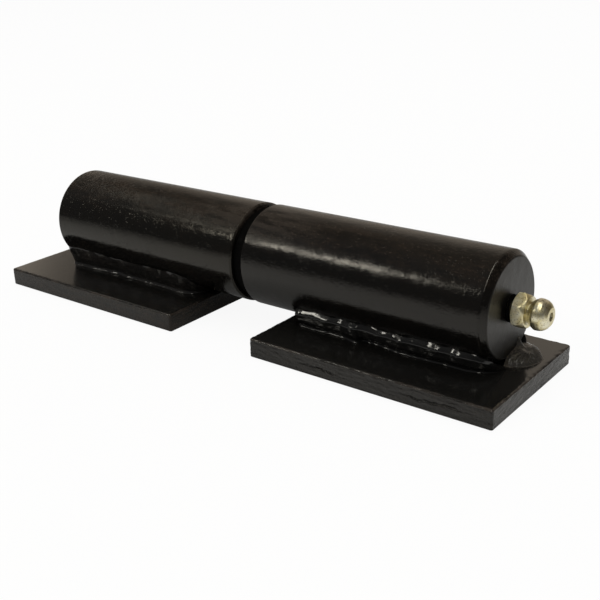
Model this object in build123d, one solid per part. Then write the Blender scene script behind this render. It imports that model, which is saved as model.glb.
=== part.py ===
from build123d import *
import math
import os

# A weld on barrel hinge: two steel barrels on one pin, a thrust washer between them, each barrel
# fillet welded along a flat plate, and a grease nipple in the end of the turning half.
# Lengths are millimetres. X runs along the barrels towards the nipple, Y across the plates and
# Z upwards. The plates rest on Z = 0, and the origin is under the middle of the whole hinge.

# --- barrels ---
barrel_diameter = 25.4
barrel_length = 66.0
end_chamfer = 1.4
face_chamfer = 0.4
drill_point_slope = math.tan(math.radians(31))

# --- pin and washer ---
pin_diameter = 14.0
pin_seat = 44.0
pin_reach = 48.0
pin_chamfer = 1.0
running_clearance = 0.08
bore_depth = 51.0
bore_chamfer = 0.8
gap = 3.0
washer_diameter = 23.0
washer_play = 0.05

# --- plates ---
plate_length = 63.5
plate_width = 38.1
plate_thickness = 4.76
plate_corner = 0.9
plate_edge = 0.35
fixed_setback = 13.0
moving_setback = 10.0
barrel_offset = 3.0

# --- welds ---
ripple_pitch = 4.4
ripple_depth = 0.35
ripple_crest = 0.65
bead_sides = 16
bead_bulge = 0.6
fixed_toe = 9.9
fixed_climb = 5.8
moving_toe = 10.0
moving_climb = 4.9
bead_overrun = 1.2
bead_inset = 3.2
bead_root = 3.2
end_bead_y = 7.2
end_bead_rings = [(7.5, 0.0), (6.3, 1.6), (3.9, 2.9), (1.2, 3.4)]
end_bead_folds = 13
fold_depth = 0.07
crest_shift = -0.9
crest_radius = 2.5
crest_tip_radius = 0.5
crest_height = 5.5

# --- grease nipple ---
thread_diameter = 6.2
thread_length = 5.0
thread_shown = 1.2
hole_depth = 6.5
passage_diameter = 3.0
hex_across_flats = 7.1
hex_height = 2.8
neck_diameter = 4.6
neck_length = 0.9
head_diameter = 6.6
head_length = 4.1
head_tip_diameter = 4.0
inlet_diameter = 1.9
inlet_depth = 0.8
chamber_diameter = 2.9
crimp_length = 0.5
ball_diameter = 2.38
ball_gap = 0.04
spring_wire = 0.32
spring_turns = 5

# --- places worked out from the sizes ---
barrel_radius = barrel_diameter / 2
pin_radius = pin_diameter / 2
bore_radius = pin_radius + running_clearance
nipple_projection = thread_shown + hex_height + neck_length + head_length
left_end = -(gap / 2 + fixed_setback + plate_length)
right_end = gap / 2 + barrel_length + nipple_projection
gap_x = -(left_end + right_end) / 2
fixed_face_x = gap_x - gap / 2
moving_face_x = gap_x + gap / 2
moving_end_x = moving_face_x + barrel_length
axis_y = barrel_offset
axis_z = plate_thickness + barrel_radius
fixed_plate_x = fixed_face_x - fixed_setback - plate_length / 2
moving_plate_x = moving_face_x + moving_setback + plate_length / 2


def turned(points):
    """Turn a closed (x, radius) outline about the X axis."""
    return revolve(make_face(Polyline(*points, close=True)), Axis.X, 360)


def on_axis(shape, x):
    """Set a shape turned about X on the hinge axis, its own x = 0 at the given x."""
    return Pos(x, axis_y, axis_z) * shape


def barrel_outside():
    """Outline of a barrel's outer skin, from its inner face at x = 0 to its chamfered end."""
    return [
        (0, barrel_radius - face_chamfer),
        (face_chamfer, barrel_radius),
        (barrel_length - end_chamfer, barrel_radius),
        (barrel_length, barrel_radius - end_chamfer),
    ]


def fixed_barrel():
    """The barrel that the pin is pressed into: closed outer end, blind bore."""
    outline = [(0, pin_radius)] + barrel_outside() + [(barrel_length, 0), (pin_seat, 0), (pin_seat, pin_radius)]
    return on_axis(Rot(0, 0, 180) * turned(outline), fixed_face_x)


def moving_barrel():
    """The barrel that turns on the pin, with its blind bore, grease passage and tapped hole."""
    thread_radius = thread_diameter / 2
    passage_radius = passage_diameter / 2
    bore_end = bore_depth + (bore_radius - passage_radius) * drill_point_slope
    hole_end = barrel_length - hole_depth
    hole_point = hole_end - (thread_radius - passage_radius) * drill_point_slope
    outline = [(0, bore_radius + bore_chamfer)] + barrel_outside() + [
        (barrel_length, thread_radius),
        (hole_end, thread_radius),
        (hole_point, passage_radius),
        (bore_end, passage_radius),
        (bore_depth, bore_radius),
        (bore_chamfer, bore_radius),
    ]
    return on_axis(turned(outline), moving_face_x)


def hinge_pin():
    """The pin: pressed into the fixed barrel, running in the moving one."""
    inner = -pin_seat
    outer = gap + pin_reach
    outline = [
        (inner, 0),
        (inner, pin_radius - pin_chamfer),
        (inner + pin_chamfer, pin_radius),
        (outer - pin_chamfer, pin_radius),
        (outer, pin_radius - pin_chamfer),
        (outer, 0),
    ]
    return on_axis(turned(outline), fixed_face_x)


def thrust_washer():
    """The washer that keeps the barrels apart, a little smaller than they are."""
    inner_radius = pin_radius + running_clearance
    outer_radius = washer_diameter / 2
    left = washer_play
    right = gap - washer_play
    outline = [(left, inner_radius), (left, outer_radius), (right, outer_radius), (right, inner_radius)]
    return on_axis(turned(outline), fixed_face_x)


def plate(x):
    """One flat plate, its middle at the given x, with rounded corners and softened edges."""
    blank = Pos(x, 0, plate_thickness / 2) * Box(plate_length, plate_width, plate_thickness)
    blank = fillet(blank.edges().filter_by(Axis.Z), plate_corner)
    rims = blank.faces().sort_by(Axis.Z)
    return chamfer(rims[0].edges() + rims[-1].edges(), plate_edge)


def bead_circle(toe, climb):
    """Centre and radius of the circle that a fillet's outer face follows.

    The circle passes through the toe on the plate, at (-toe, 0), and the toe on the barrel's
    round side at the height climb.
    """
    rise = barrel_radius - climb
    upper = -math.sqrt(barrel_radius**2 - rise**2)
    chord = math.hypot(upper + toe, climb)
    radius = chord**2 / (8 * bead_bulge) + bead_bulge / 2
    inward = radius - bead_bulge
    centre_across = (upper - toe) / 2 + inward * climb / chord
    centre_up = climb / 2 - inward * (upper + toe) / chord
    return centre_across, centre_up, radius


def rippled_rod(length, radius):
    """A rod along X from x = 0, with a weld bead's ripples: a slow rise, then a quicker fall.

    The rod has flat sides, so that a long bead stays a light solid.
    """
    count = max(2, round(length / ripple_pitch))
    pitch = length / count
    valley = radius - ripple_depth
    stations = [(0.0, valley)]
    for i in range(count):
        stations.append(((i + ripple_crest) * pitch, radius))
        stations.append(((i + 1) * pitch, valley))
    sections = [Pos(x, 0, 0) * Rot(0, 90, 0) * RegularPolygon(r, bead_sides) for x, r in stations]
    return loft(sections, ruled=True)


def above_plates():
    """All the room above the plates' top faces."""
    size = 400
    return Pos(0, 0, plate_thickness + size / 2) * Box(size, size, size)


def side_bead(x_from, x_to, toe, climb, side):
    """A fillet bead along a barrel between x_from and x_to, on side -1 (front) or +1 (rear)."""
    across, up, radius = bead_circle(toe, climb)
    rod = Pos(x_from, axis_y - side * across, plate_thickness + up) * rippled_rod(x_to - x_from, radius)
    round_bar = Pos((x_from + x_to) / 2, axis_y, axis_z) * Rot(0, 90, 0) * Cylinder(barrel_radius, 400)
    reach = 100
    outside_root = Pos(0, axis_y + side * (bead_root + reach / 2), 0) * Box(2 * reach, reach, reach)
    return (rod & above_plates() & outside_root) - round_bar


def fixed_bead(side):
    """The bead along one side of the fixed barrel, which stops short of the plate's inner edge."""
    plate_inner_edge = fixed_face_x - fixed_setback
    barrel_end = fixed_face_x - barrel_length
    return side_bead(barrel_end, plate_inner_edge - bead_inset, fixed_toe, fixed_climb, side)


def moving_bead(side):
    """The bead along one side of the moving barrel; it runs on past the end face."""
    plate_inner_edge = moving_face_x + moving_setback
    start = plate_inner_edge + bead_inset
    return side_bead(start, moving_end_x + bead_overrun, moving_toe, moving_climb, side)


def folded_outline(radius, height):
    """A closed outline at the given height, whose corners stand out and in by turns."""
    corners = []
    for i in range(2 * end_bead_folds):
        turn = math.pi * i / end_bead_folds
        reach = radius * (1 - fold_depth * (i % 2))
        corners.append((reach * math.cos(turn), reach * math.sin(turn), height))
    return make_face(Polyline(*corners, close=True))


def end_bead(neighbours, barrel):
    """The weld at the foot of the moving barrel's end face.

    Its folds fan out over the plate from a mound, and a pointed crest climbs the face.
    """
    mound = loft([folded_outline(radius, height) for radius, height in end_bead_rings], ruled=True)
    crest = Pos(0, crest_shift, crest_height / 2) * Cone(crest_radius, crest_tip_radius, crest_height)
    bead = Pos(moving_end_x, end_bead_y, plate_thickness) * (mound + crest)
    bead = bead & (Pos(moving_end_x + 50 - end_chamfer, 0, 50) * Box(100, 100, 100))
    for solid in [barrel] + neighbours:
        bead = bead - solid
    return largest(bead)


def largest(shape):
    """The biggest solid of a shape, without the crumbs that a cut may leave."""
    return shape.solids().sort_by(SortBy.VOLUME)[-1]


def nipple_channel():
    """The way through the nipple: inlet, ball seat, ball chamber and the crimped outlet."""
    inlet_radius = inlet_diameter / 2
    chamber_radius = chamber_diameter / 2
    seat_x = nipple_projection - inlet_depth
    shank_end = -thread_length
    outline = [
        (nipple_projection + 1, 0),
        (nipple_projection + 1, inlet_radius),
        (seat_x, inlet_radius),
        (seat_x - (chamber_radius - inlet_radius), chamber_radius),
        (shank_end + crimp_length, chamber_radius),
        (shank_end + crimp_length, inlet_radius),
        (shank_end - 1, inlet_radius),
        (shank_end - 1, 0),
    ]
    return turned(outline)


def grease_nipple():
    """The nipple's body in one piece: threaded shank, hexagon, neck and coupler head."""
    thread_radius = thread_diameter / 2
    neck_radius = neck_diameter / 2
    head_radius = head_diameter / 2
    hex_x = thread_shown
    neck_x = hex_x + hex_height
    head_x = neck_x + neck_length
    widest_x = head_x + 0.36 * head_length
    band_x = widest_x + 0.12 * head_length
    corner = 0.5
    stem = [
        (-thread_length, 0),
        (-thread_length, thread_radius - corner),
        (-thread_length + corner, thread_radius),
        (hex_x + 0.5, thread_radius),
        (hex_x + 0.5, neck_radius),
        (head_x, neck_radius),
        (widest_x, head_radius),
        (band_x, head_radius),
    ]
    brow_x = band_x + 0.6 * (nipple_projection - band_x)
    brow = ThreePointArc(
        (band_x, head_radius),
        (brow_x, head_radius - 0.38 * (head_radius - head_tip_diameter / 2)),
        (nipple_projection, head_tip_diameter / 2),
    )
    nose = Polyline((nipple_projection, head_tip_diameter / 2), (nipple_projection, 0), (-thread_length, 0))
    body = revolve(make_face([Polyline(*stem), brow, nose]), Axis.X, 360)
    hex_outline = RegularPolygon(hex_across_flats / 2, 6, major_radius=False)
    prism = Pos(hex_x, 0, 0) * Rot(0, 90, 0) * extrude(hex_outline, hex_height)
    corner_radius = hex_across_flats / 2 / math.cos(math.radians(30))
    bevel = 0.55
    turned_blank = turned([
        (hex_x, 0),
        (hex_x, corner_radius - bevel),
        (hex_x + 0.5 * bevel, corner_radius),
        (neck_x - 0.6 * bevel, corner_radius),
        (neck_x, corner_radius - bevel),
        (neck_x, 0),
    ])
    body = (body + (prism & turned_blank)) - nipple_channel()
    return on_axis(body, moving_end_x)


def ball_centre():
    """How far the check ball's centre lies from the barrel's end face, with the ball on its seat."""
    inlet_radius = inlet_diameter / 2
    ball_radius = ball_diameter / 2
    seat_x = nipple_projection - inlet_depth
    return seat_x - math.sqrt(ball_radius**2 - inlet_radius**2) - ball_gap


def check_ball():
    """The steel ball that closes the nipple's inlet."""
    return on_axis(Pos(ball_centre(), 0, 0) * Sphere(ball_diameter / 2), moving_end_x)


def nipple_spring():
    """The coil spring behind the ball, standing on the crimped outlet."""
    mean_radius = 0.8
    start = -thread_length + crimp_length + spring_wire
    end = ball_centre() - 0.98
    length = end - start
    coil = Helix(pitch=length / spring_turns, height=length, radius=mean_radius)
    section = Plane(origin=coil @ 0, z_dir=coil % 0) * RegularPolygon(spring_wire / 2, 4)
    wire = sweep(section, path=coil, is_frenet=True)
    return on_axis(Pos(start, 0, 0) * Rot(0, 90, 0) * wire, moving_end_x)


def build():
    """Every piece of the hinge under the name it is written with."""
    right_barrel = moving_barrel()
    right_beads = {"moving_weld_front": moving_bead(-1), "moving_weld_rear": moving_bead(1)}
    return {
        "fixed_plate": plate(fixed_plate_x),
        "fixed_barrel": fixed_barrel(),
        "fixed_weld_front": fixed_bead(-1),
        "fixed_weld_rear": fixed_bead(1),
        "hinge_pin": hinge_pin(),
        "thrust_washer": thrust_washer(),
        "moving_plate": plate(moving_plate_x),
        "moving_barrel": right_barrel,
        **right_beads,
        "moving_weld_end": end_bead(list(right_beads.values()), right_barrel),
        "grease_nipple": grease_nipple(),
        "nipple_check_ball": check_ball(),
        "nipple_spring": nipple_spring(),
    }


os.makedirs("parts", exist_ok=True)
for node, shape in build().items():
    export_step(shape, f"parts/{node}.step")
    box = shape.bounding_box()
    print(f"{node}: volume {shape.volume:.1f} mm3, x {box.min.X:.2f}..{box.max.X:.2f},"
          f" y {box.min.Y:.2f}..{box.max.Y:.2f}, z {box.min.Z:.2f}..{box.max.Z:.2f}")
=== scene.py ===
"""The looks of a weld on barrel hinge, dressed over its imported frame.

Two painted steel barrels share one pin. Each is fillet welded along a flat plate, a thrust washer
keeps them apart, and a grease nipple stands in the end of the half that turns. X runs along the
barrels, Z is up, the plates rest on Z = 0, and every length below is in metres unless its name
ends in _mm.
"""

import logging
import math
from dataclasses import dataclass
from enum import Enum
from typing import Any, Callable, Iterable, Optional, Sequence, Union

import bmesh
import bpy
from mathutils import Matrix, Vector, noise


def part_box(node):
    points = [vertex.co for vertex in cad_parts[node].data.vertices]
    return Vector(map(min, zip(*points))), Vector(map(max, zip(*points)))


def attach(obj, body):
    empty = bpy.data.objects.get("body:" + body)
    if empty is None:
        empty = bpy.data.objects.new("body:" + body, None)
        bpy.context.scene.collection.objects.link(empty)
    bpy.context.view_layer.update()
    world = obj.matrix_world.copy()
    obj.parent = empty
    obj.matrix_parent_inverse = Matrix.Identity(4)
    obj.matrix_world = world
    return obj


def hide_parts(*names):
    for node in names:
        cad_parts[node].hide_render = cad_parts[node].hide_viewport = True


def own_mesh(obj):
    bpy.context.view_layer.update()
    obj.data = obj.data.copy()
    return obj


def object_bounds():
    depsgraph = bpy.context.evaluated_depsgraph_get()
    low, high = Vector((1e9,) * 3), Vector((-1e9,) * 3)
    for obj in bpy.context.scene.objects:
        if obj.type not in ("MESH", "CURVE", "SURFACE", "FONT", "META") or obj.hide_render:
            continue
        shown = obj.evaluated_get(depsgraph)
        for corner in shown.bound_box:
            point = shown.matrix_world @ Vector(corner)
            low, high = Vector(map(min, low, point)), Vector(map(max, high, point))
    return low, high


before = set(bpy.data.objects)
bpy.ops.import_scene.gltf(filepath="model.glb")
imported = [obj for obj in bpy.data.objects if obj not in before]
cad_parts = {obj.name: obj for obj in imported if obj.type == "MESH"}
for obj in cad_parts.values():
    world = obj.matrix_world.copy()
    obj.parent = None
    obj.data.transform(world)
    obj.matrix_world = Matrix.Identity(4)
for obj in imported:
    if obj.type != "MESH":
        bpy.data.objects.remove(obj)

log = logging.getLogger("hinge")

CAD_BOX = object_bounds()
MM = 0.001
WELD_DISTANCE = 0.0001 * MM  # points closer than this are one point
ON_LINE = 0.00001 * MM  # a corner closer to the hinge line than this is on it
ON_OUTLINE = 0.001 * MM  # a point less far inside a plate than this is on its cut face
RUNNING_BORE = 7.08 * MM  # radius of the holes that turn on the pin
WELD_CREASE = 75.0  # degrees; sharper edges on a bead stay sharp

Colour = tuple[float, float, float]
Span = tuple[float, float]
Feed = Union["Wire", float, int, bool, tuple, Vector, bpy.types.Material]


# ---------------------------------------------------------------- node trees


@dataclass(frozen=True)
class Wire:
    """One output of a node, which arithmetic joins to others through Math nodes.

    Attributes:
        sheet: the tree that it belongs to.
        node: its node.
        socket: the node's output, or none where the node has no outputs.
    """

    sheet: "NodeSheet"
    node: bpy.types.Node
    socket: Optional[bpy.types.NodeSocket]

    def __getitem__(self, key: Union[str, int]) -> "Wire":
        """Another output of the same node."""
        return Wire(self.sheet, self.node, self.node.outputs[key])

    def __add__(self, other: "Number") -> "Wire":
        """Sum."""
        return self.sheet.math("ADD", self, other)

    def __radd__(self, other: "Number") -> "Wire":
        """Sum with a number on the left."""
        return self.sheet.math("ADD", other, self)

    def __sub__(self, other: "Number") -> "Wire":
        """Difference."""
        return self.sheet.math("SUBTRACT", self, other)

    def __rsub__(self, other: "Number") -> "Wire":
        """Difference with a number on the left."""
        return self.sheet.math("SUBTRACT", other, self)

    def __mul__(self, other: "Number") -> "Wire":
        """Product."""
        return self.sheet.math("MULTIPLY", self, other)

    def __rmul__(self, other: "Number") -> "Wire":
        """Product with a number on the left."""
        return self.sheet.math("MULTIPLY", other, self)

    def __truediv__(self, other: "Number") -> "Wire":
        """Quotient."""
        return self.sheet.math("DIVIDE", self, other)

    def __rtruediv__(self, other: "Number") -> "Wire":
        """Quotient with a number on the left."""
        return self.sheet.math("DIVIDE", other, self)

    def __pow__(self, other: "Number") -> "Wire":
        """Power."""
        return self.sheet.math("POWER", self, other)


Number = Union[Wire, float, int]


class NodeSheet:
    """A node tree that is filled from Python expressions."""

    def __init__(self, tree: bpy.types.NodeTree) -> None:
        """Start on an empty tree."""
        self.tree = tree
        tree.nodes.clear()

    def add(
        self,
        kind: str,
        settings: Optional[dict[str, Any]] = None,
        sockets: Optional[dict[Union[str, int], Feed]] = None,
        output: Union[str, int] = 0,
    ) -> Wire:
        """Add one node.

        Args:
            kind: the node's type name.
            settings: its own settings, such as a Math node's operation, which are set first.
            sockets: values or wires for its inputs, by name or number.
            output: which output the returned wire takes.

        Returns:
            A wire on that output, or on no socket where the node has none.
        """
        node = self.tree.nodes.new(kind)
        for name, value in (settings or {}).items():
            setattr(node, name, value)
        for key, value in (sockets or {}).items():
            self._feed(node.inputs[key], value)
        return Wire(self, node, node.outputs[output] if len(node.outputs) else None)

    def _feed(self, socket: bpy.types.NodeSocket, value: Feed) -> None:
        """Link a wire to a socket, or write a plain value on it.

        Args:
            socket: the input.
            value: the wire or the value; a colour of three numbers is made opaque.
        """
        if isinstance(value, Wire):
            self.tree.links.new(value.socket, socket)
        elif isinstance(value, tuple) and socket.type == "RGBA" and len(value) == 3:
            socket.default_value = (*value, 1.0)
        else:
            socket.default_value = value

    def math(self, operation: str, *values: Number) -> Wire:
        """A Math node on one to three values."""
        return self.add("ShaderNodeMath", {"operation": operation}, dict(enumerate(values)))

    def clamped(self, value: Number) -> Wire:
        """The value held between 0 and 1."""
        return self.math("MINIMUM", self.math("MAXIMUM", value, 0.0), 1.0)

    def smooth(self, low: float, high: float, value: Wire) -> Wire:
        """A smooth step from 0 at low to 1 at high."""
        return self.add(
            "ShaderNodeMapRange",
            {"interpolation_type": "SMOOTHSTEP"},
            {"Value": value, "From Min": low, "From Max": high},
        )

    def mix(self, share: Number, first: Feed, second: Feed) -> Wire:
        """Two colours mixed, all of the second where share is 1."""
        return self.add("ShaderNodeMix", {"data_type": "RGBA"}, {0: share, 6: first, 7: second}, 2)

    def blend(self, share: Number, first: Number, second: Number) -> Wire:
        """Two numbers mixed, all of the second where share is 1."""
        return self.add("ShaderNodeMix", {"data_type": "FLOAT"}, {0: share, 2: first, 3: second}, 0)

    def noise(self, place: Wire, per_mm: float, detail: float = 2.0, rough: float = 0.5) -> Wire:
        """Noise between about 0 and 1 on a place in millimetres."""
        sockets = {"Vector": place, "Scale": per_mm, "Detail": detail, "Roughness": rough}
        return self.add("ShaderNodeTexNoise", {"noise_dimensions": "3D"}, sockets)

    def vector(self, x: Number, y: Number, z: Number) -> Wire:
        """Three numbers as one vector."""
        return self.add("ShaderNodeCombineXYZ", {}, {0: x, 1: y, 2: z})


class SurfaceSheet(NodeSheet):
    """A material's node tree, with what every finish on this hinge starts from."""

    def __init__(self, name: str) -> None:
        """Make an empty material.

        Args:
            name: the material's name.
        """
        self.material = bpy.data.materials.new(name)
        self.material.use_nodes = True
        super().__init__(self.material.node_tree)

    def place_mm(self, stretch: tuple[float, float, float] = (1.0, 1.0, 1.0)) -> Wire:
        """The point on the piece in millimetres.

        Args:
            stretch: how much each axis is scaled, so that less than 1 draws a pattern out along it.

        Returns:
            The place to lay a pattern on.
        """
        at = self.add("ShaderNodeTexCoord", output="Object")
        scale = tuple(s / MM for s in stretch)
        return self.add("ShaderNodeMapping", {}, {"Vector": at, "Scale": scale})

    def bump(self, height: Number, depth_mm: float) -> Wire:
        """A bump normal from a height of 0 to 1 that stands for depth_mm."""
        sockets = {"Height": height, "Strength": 1.0, "Distance": depth_mm * MM}
        return self.add("ShaderNodeBump", {}, sockets)

    def finish(self, sockets: dict[str, Feed]) -> bpy.types.Material:
        """Close the tree with a Principled shader.

        Args:
            sockets: the shader's inputs by name.

        Returns:
            The finished material.
        """
        skin = self.add("ShaderNodeBsdfPrincipled", {}, sockets)
        self.add("ShaderNodeOutputMaterial", {}, {"Surface": skin})
        return self.material


# ---------------------------------------------------------------- finishes


@dataclass(frozen=True)
class GlossPaint:
    """Black enamel brushed over mill steel, thin and a little brown on top of the bar, where painted
    reflection, a painted sheen and painted glints lie too.

    Attributes:
        name: the material's name.
        line_z: height of the hinge line.
        end_x: how far from the middle of the hinge the barrel's turned end is.
        black: the full coat.
        brown: the steel's scale where the coat lies thin, and on top also the painted reflection of the
            warm room.
        painted_top_sheen: a painted sheen on the top, strongest beside the washer.
        browning: how much of the brown shows, most of it on top.
        gloss: roughness of the full coat.
        haze: how much rougher the thin coat on top is.
        orange_peel_mm: height of the coat's waves.
        grit_mm: height of the fine grit under it.
        nib_mm: height of the dust nibs in it.
        crown_mm: height of the brush marks on the very top.
        end_haze: how much rougher the coat on the turned end is.
        sheen: tint of what it reflects.
        brushed: how the brush draws its marks out along the barrel.
        top_band_mm: heights over the hinge line between which the top band starts, where the coat thins
            and the painted brown, sheen and glints lie.
        crown_at_mm: heights over the hinge line between which the marks on the very top start.
        sheen_fade_mm: distances from the washer between which the painted sheen on top fades.
        end_edge_mm: distances from the turned end between which its rougher coat starts.
    """

    name: str
    line_z: float
    end_x: float
    black: Colour = (0.0022, 0.0021, 0.0019)
    brown: Colour = (0.0125, 0.0066, 0.0030)
    painted_top_sheen: Colour = (0.034, 0.0275, 0.0225)
    browning: float = 0.8
    gloss: float = 0.12
    haze: float = 0.10
    orange_peel_mm: float = 0.055
    grit_mm: float = 0.040
    nib_mm: float = 0.018
    crown_mm: float = 0.06
    end_haze: float = 0.22
    sheen: Colour = (1.0, 0.96, 0.90)
    brushed: tuple[float, float, float] = (0.22, 1.0, 1.0)
    top_band_mm: Span = (5.5, 12.0)
    crown_at_mm: Span = (10.3, 12.2)
    sheen_fade_mm: Span = (5.0, 32.0)
    end_edge_mm: Span = (0.45, 0.15)

    def make(self) -> bpy.types.Material:
        """Lay the coat and its dirt, with painted reflection, sheen and glints on top.

        Returns:
            The material.
        """
        sheet = SurfaceSheet(self.name)
        place = sheet.place_mm()
        drawn = sheet.place_mm(self.brushed)
        patchy = sheet.smooth(0.40, 0.62, sheet.noise(place, 0.16, 2.0))
        grit = sheet.noise(place, 2.1, 2.0, 0.7) * (0.55 + 0.55 * patchy)
        nibs = sheet.smooth(0.60, 0.70, sheet.noise(place, 1.5, 1.0)) * (0.4 + 0.6 * patchy)
        peel = sheet.noise(place, 0.40, 1.0)
        streak = sheet.noise(drawn, 0.55, 4.0, 0.62)
        fleck = sheet.noise(sheet.place_mm((0.6, 1.0, 1.0)), 1.9, 3.0, 0.62)
        parts = sheet.add("ShaderNodeSeparateXYZ", {}, {0: place})
        line, end = self.line_z / MM, self.end_x / MM
        from_middle = sheet.math("ABSOLUTE", parts["X"])
        # The top band: rougher coat, and brown, sheen and glints painted in for the light that the top
        # of the bar reflects.
        on_top = sheet.smooth(*(line + up for up in self.top_band_mm), parts["Z"])
        crown = sheet.smooth(*(line + up for up in self.crown_at_mm), parts["Z"])
        on_end = sheet.smooth(*(end - inset for inset in self.end_edge_mm), from_middle)
        by_washer = 1.0 - sheet.smooth(*self.sheen_fade_mm, from_middle)
        blotch = sheet.noise(sheet.place_mm((0.35, 1.0, 1.0)), 0.22, 2.0)
        worn = 0.3 + 0.7 * sheet.smooth(0.42, 0.60, blotch)
        thin = 0.15 + sheet.smooth(0.38, 0.66, streak) * 0.5 + sheet.smooth(0.46, 0.66, fleck) * 0.7
        # Brown scale shows a little all round, and much more on top as painted reflection of the warm
        # room.
        browned = thin * worn * (0.15 + 0.85 * on_top) * self.browning
        dust = sheet.smooth(0.60, 0.74, fleck)
        coat = sheet.mix(sheet.clamped(browned), self.black, self.brown)
        # Painted sheen: a paler colour along the top, strongest beside the washer.
        painted_sheen = (by_washer * 0.7 + 0.12) * on_top * sheet.smooth(0.30, 0.62, streak)
        # Painted glints: pale flecks on the top.
        painted_glints = sheet.smooth(0.58, 0.66, fleck) * on_top * 0.4
        rough = self.gloss + self.haze * on_top * worn + 0.12 * dust + self.end_haze * on_end
        height = grit * self.grit_mm + nibs * self.nib_mm + peel * self.orange_peel_mm
        height = height + fleck * crown * self.crown_mm
        return sheet.finish({
            "Base Color": sheet.mix(sheet.clamped(painted_sheen + painted_glints), coat, self.painted_top_sheen),
            "Roughness": rough,
            "Normal": sheet.bump(height, 1.0),
            "IOR": 1.40,
            "Specular Tint": self.sheen,
        })


@dataclass(frozen=True)
class SheetPaint:
    """The same enamel over a sheared flat bar, with the cut's ragged streaks on its edges.

    Attributes:
        name: the material's name.
        top_z: height of the flat bar's top face.
        black: the full coat.
        brown: the steel's scale where the coat lies thin.
        browning: how much of the brown shows.
        gloss: roughness of the full coat.
        cut_mm: height of the streaks on the cut edges.
        pit_mm: height of the pits on the cut edges.
        lustre: how strongly the coat mirrors, as its index.
        pooled: how much more of the enamel lies on the top face than on the edges.
        painted_sheen: a painted highlight along the top edge, where the arris catches the light.
        wear: how much of the painted highlight shows.
        wave_mm: height of the slow waves all over.
        grain_mm: height of the fine grain all over.
        sheen: tint of what it reflects.
        torn: how the shear draws its streaks out, along the plate and down its edge.
    """

    name: str
    top_z: float
    black: Colour = (0.0058, 0.0056, 0.0052)
    brown: Colour = (0.016, 0.0115, 0.0084)
    browning: float = 0.0
    gloss: float = 0.15
    cut_mm: float = 0.20
    pit_mm: float = 0.09
    lustre: float = 1.40
    pooled: float = 0.5
    painted_sheen: Colour = (0.055, 0.044, 0.036)
    wear: float = 0.45
    wave_mm: float = 0.010
    grain_mm: float = 0.006
    sheen: Colour = (1.0, 0.97, 0.93)
    torn: tuple[float, float, float] = (0.22, 0.22, 1.5)

    def make(self) -> bpy.types.Material:
        """Lay the coat, deep on top and thin over the torn edges, with a painted highlight along the top
        edge.

        Returns:
            The material.
        """
        sheet = SurfaceSheet(self.name)
        place = sheet.place_mm()
        streak = sheet.noise(sheet.place_mm(self.torn), 0.9, 4.0, 0.62)
        wave = sheet.noise(place, 0.11, 2.0)
        grit = sheet.noise(place, 1.6, 3.0, 0.62)
        fleck = sheet.noise(place, 0.8, 3.0, 0.6)
        height_mm = sheet.add("ShaderNodeSeparateXYZ", {}, {0: place})["Z"]
        top = self.top_z / MM
        on_edge = 1.0 - sheet.smooth(top - 0.45, top - 0.2, height_mm)
        thin = sheet.smooth(0.35, 0.7, streak) * on_edge + sheet.smooth(0.5, 0.75, fleck)
        under_face = 1.0 - sheet.smooth(top - 0.06, top - 0.02, height_mm)
        # Painted highlight: a paler band just under the top edge, which worn and wear carry.
        brow = sheet.smooth(top - 0.65, top - 0.40, height_mm) * under_face
        worn = brow * sheet.smooth(0.40, 0.62, wave) * (0.5 + 0.5 * fleck) * self.wear
        coat = sheet.mix(sheet.clamped(thin * self.browning), self.black, self.brown)
        torn = (streak * self.cut_mm + grit * self.pit_mm) * on_edge
        height = wave * self.wave_mm + grit * self.grain_mm + torn
        return sheet.finish({
            "Base Color": sheet.mix(worn, coat, self.painted_sheen),
            "Roughness": self.gloss + 0.08 * sheet.smooth(0.5, 0.75, grit) + 0.08 * on_edge,
            "Normal": sheet.bump(height, 1.0),
            "IOR": self.lustre,
            "Coat Weight": self.pooled * (1.0 - on_edge),
            "Coat Roughness": self.gloss,
            "Coat IOR": 1.45,
            "Specular Tint": self.sheen,
        })


@dataclass(frozen=True)
class WeldPaint:
    """Enamel that has pooled between the ripples of a weld.

    Attributes:
        name: the material's name.
        black: the full coat; paler on the fixed and end welds, as painted reflection of the room.
        burnt: the smoky coat where the weld was hottest; on the fixed and end welds, paler patches of
            painted reflection.
        burning: how much of it shows.
        gloss: roughness of the full coat.
        grain_mm: height of the fine grain.
        pool_mm: height of the coat's waves.
    """

    name: str
    black: Colour = (0.0052, 0.0052, 0.0050)
    burnt: Colour = (0.0090, 0.0082, 0.0074)
    burning: float = 0.5
    gloss: float = 0.09
    grain_mm: float = 0.008
    pool_mm: float = 0.034

    def make(self) -> bpy.types.Material:
        """Pool the coat over the beads, smoky in patches.

        Returns:
            The material.
        """
        sheet = SurfaceSheet(self.name)
        place = sheet.place_mm()
        drawn = sheet.place_mm((0.35, 1.0, 1.0))
        grain = sheet.noise(drawn, 1.3, 3.0, 0.6)
        pool = sheet.noise(drawn, 0.4, 2.0, 0.5)
        patch = sheet.noise(place, 0.3, 3.0, 0.6)
        burnt = sheet.smooth(0.45, 0.7, patch) * self.burning
        return sheet.finish({
            "Base Color": sheet.mix(burnt, self.black, self.burnt),
            "Roughness": self.gloss + 0.10 * sheet.smooth(0.45, 0.7, grain),
            "Normal": sheet.bump(grain * self.grain_mm + pool * self.pool_mm, 1.0),
            "IOR": 1.45,
        })


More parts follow.
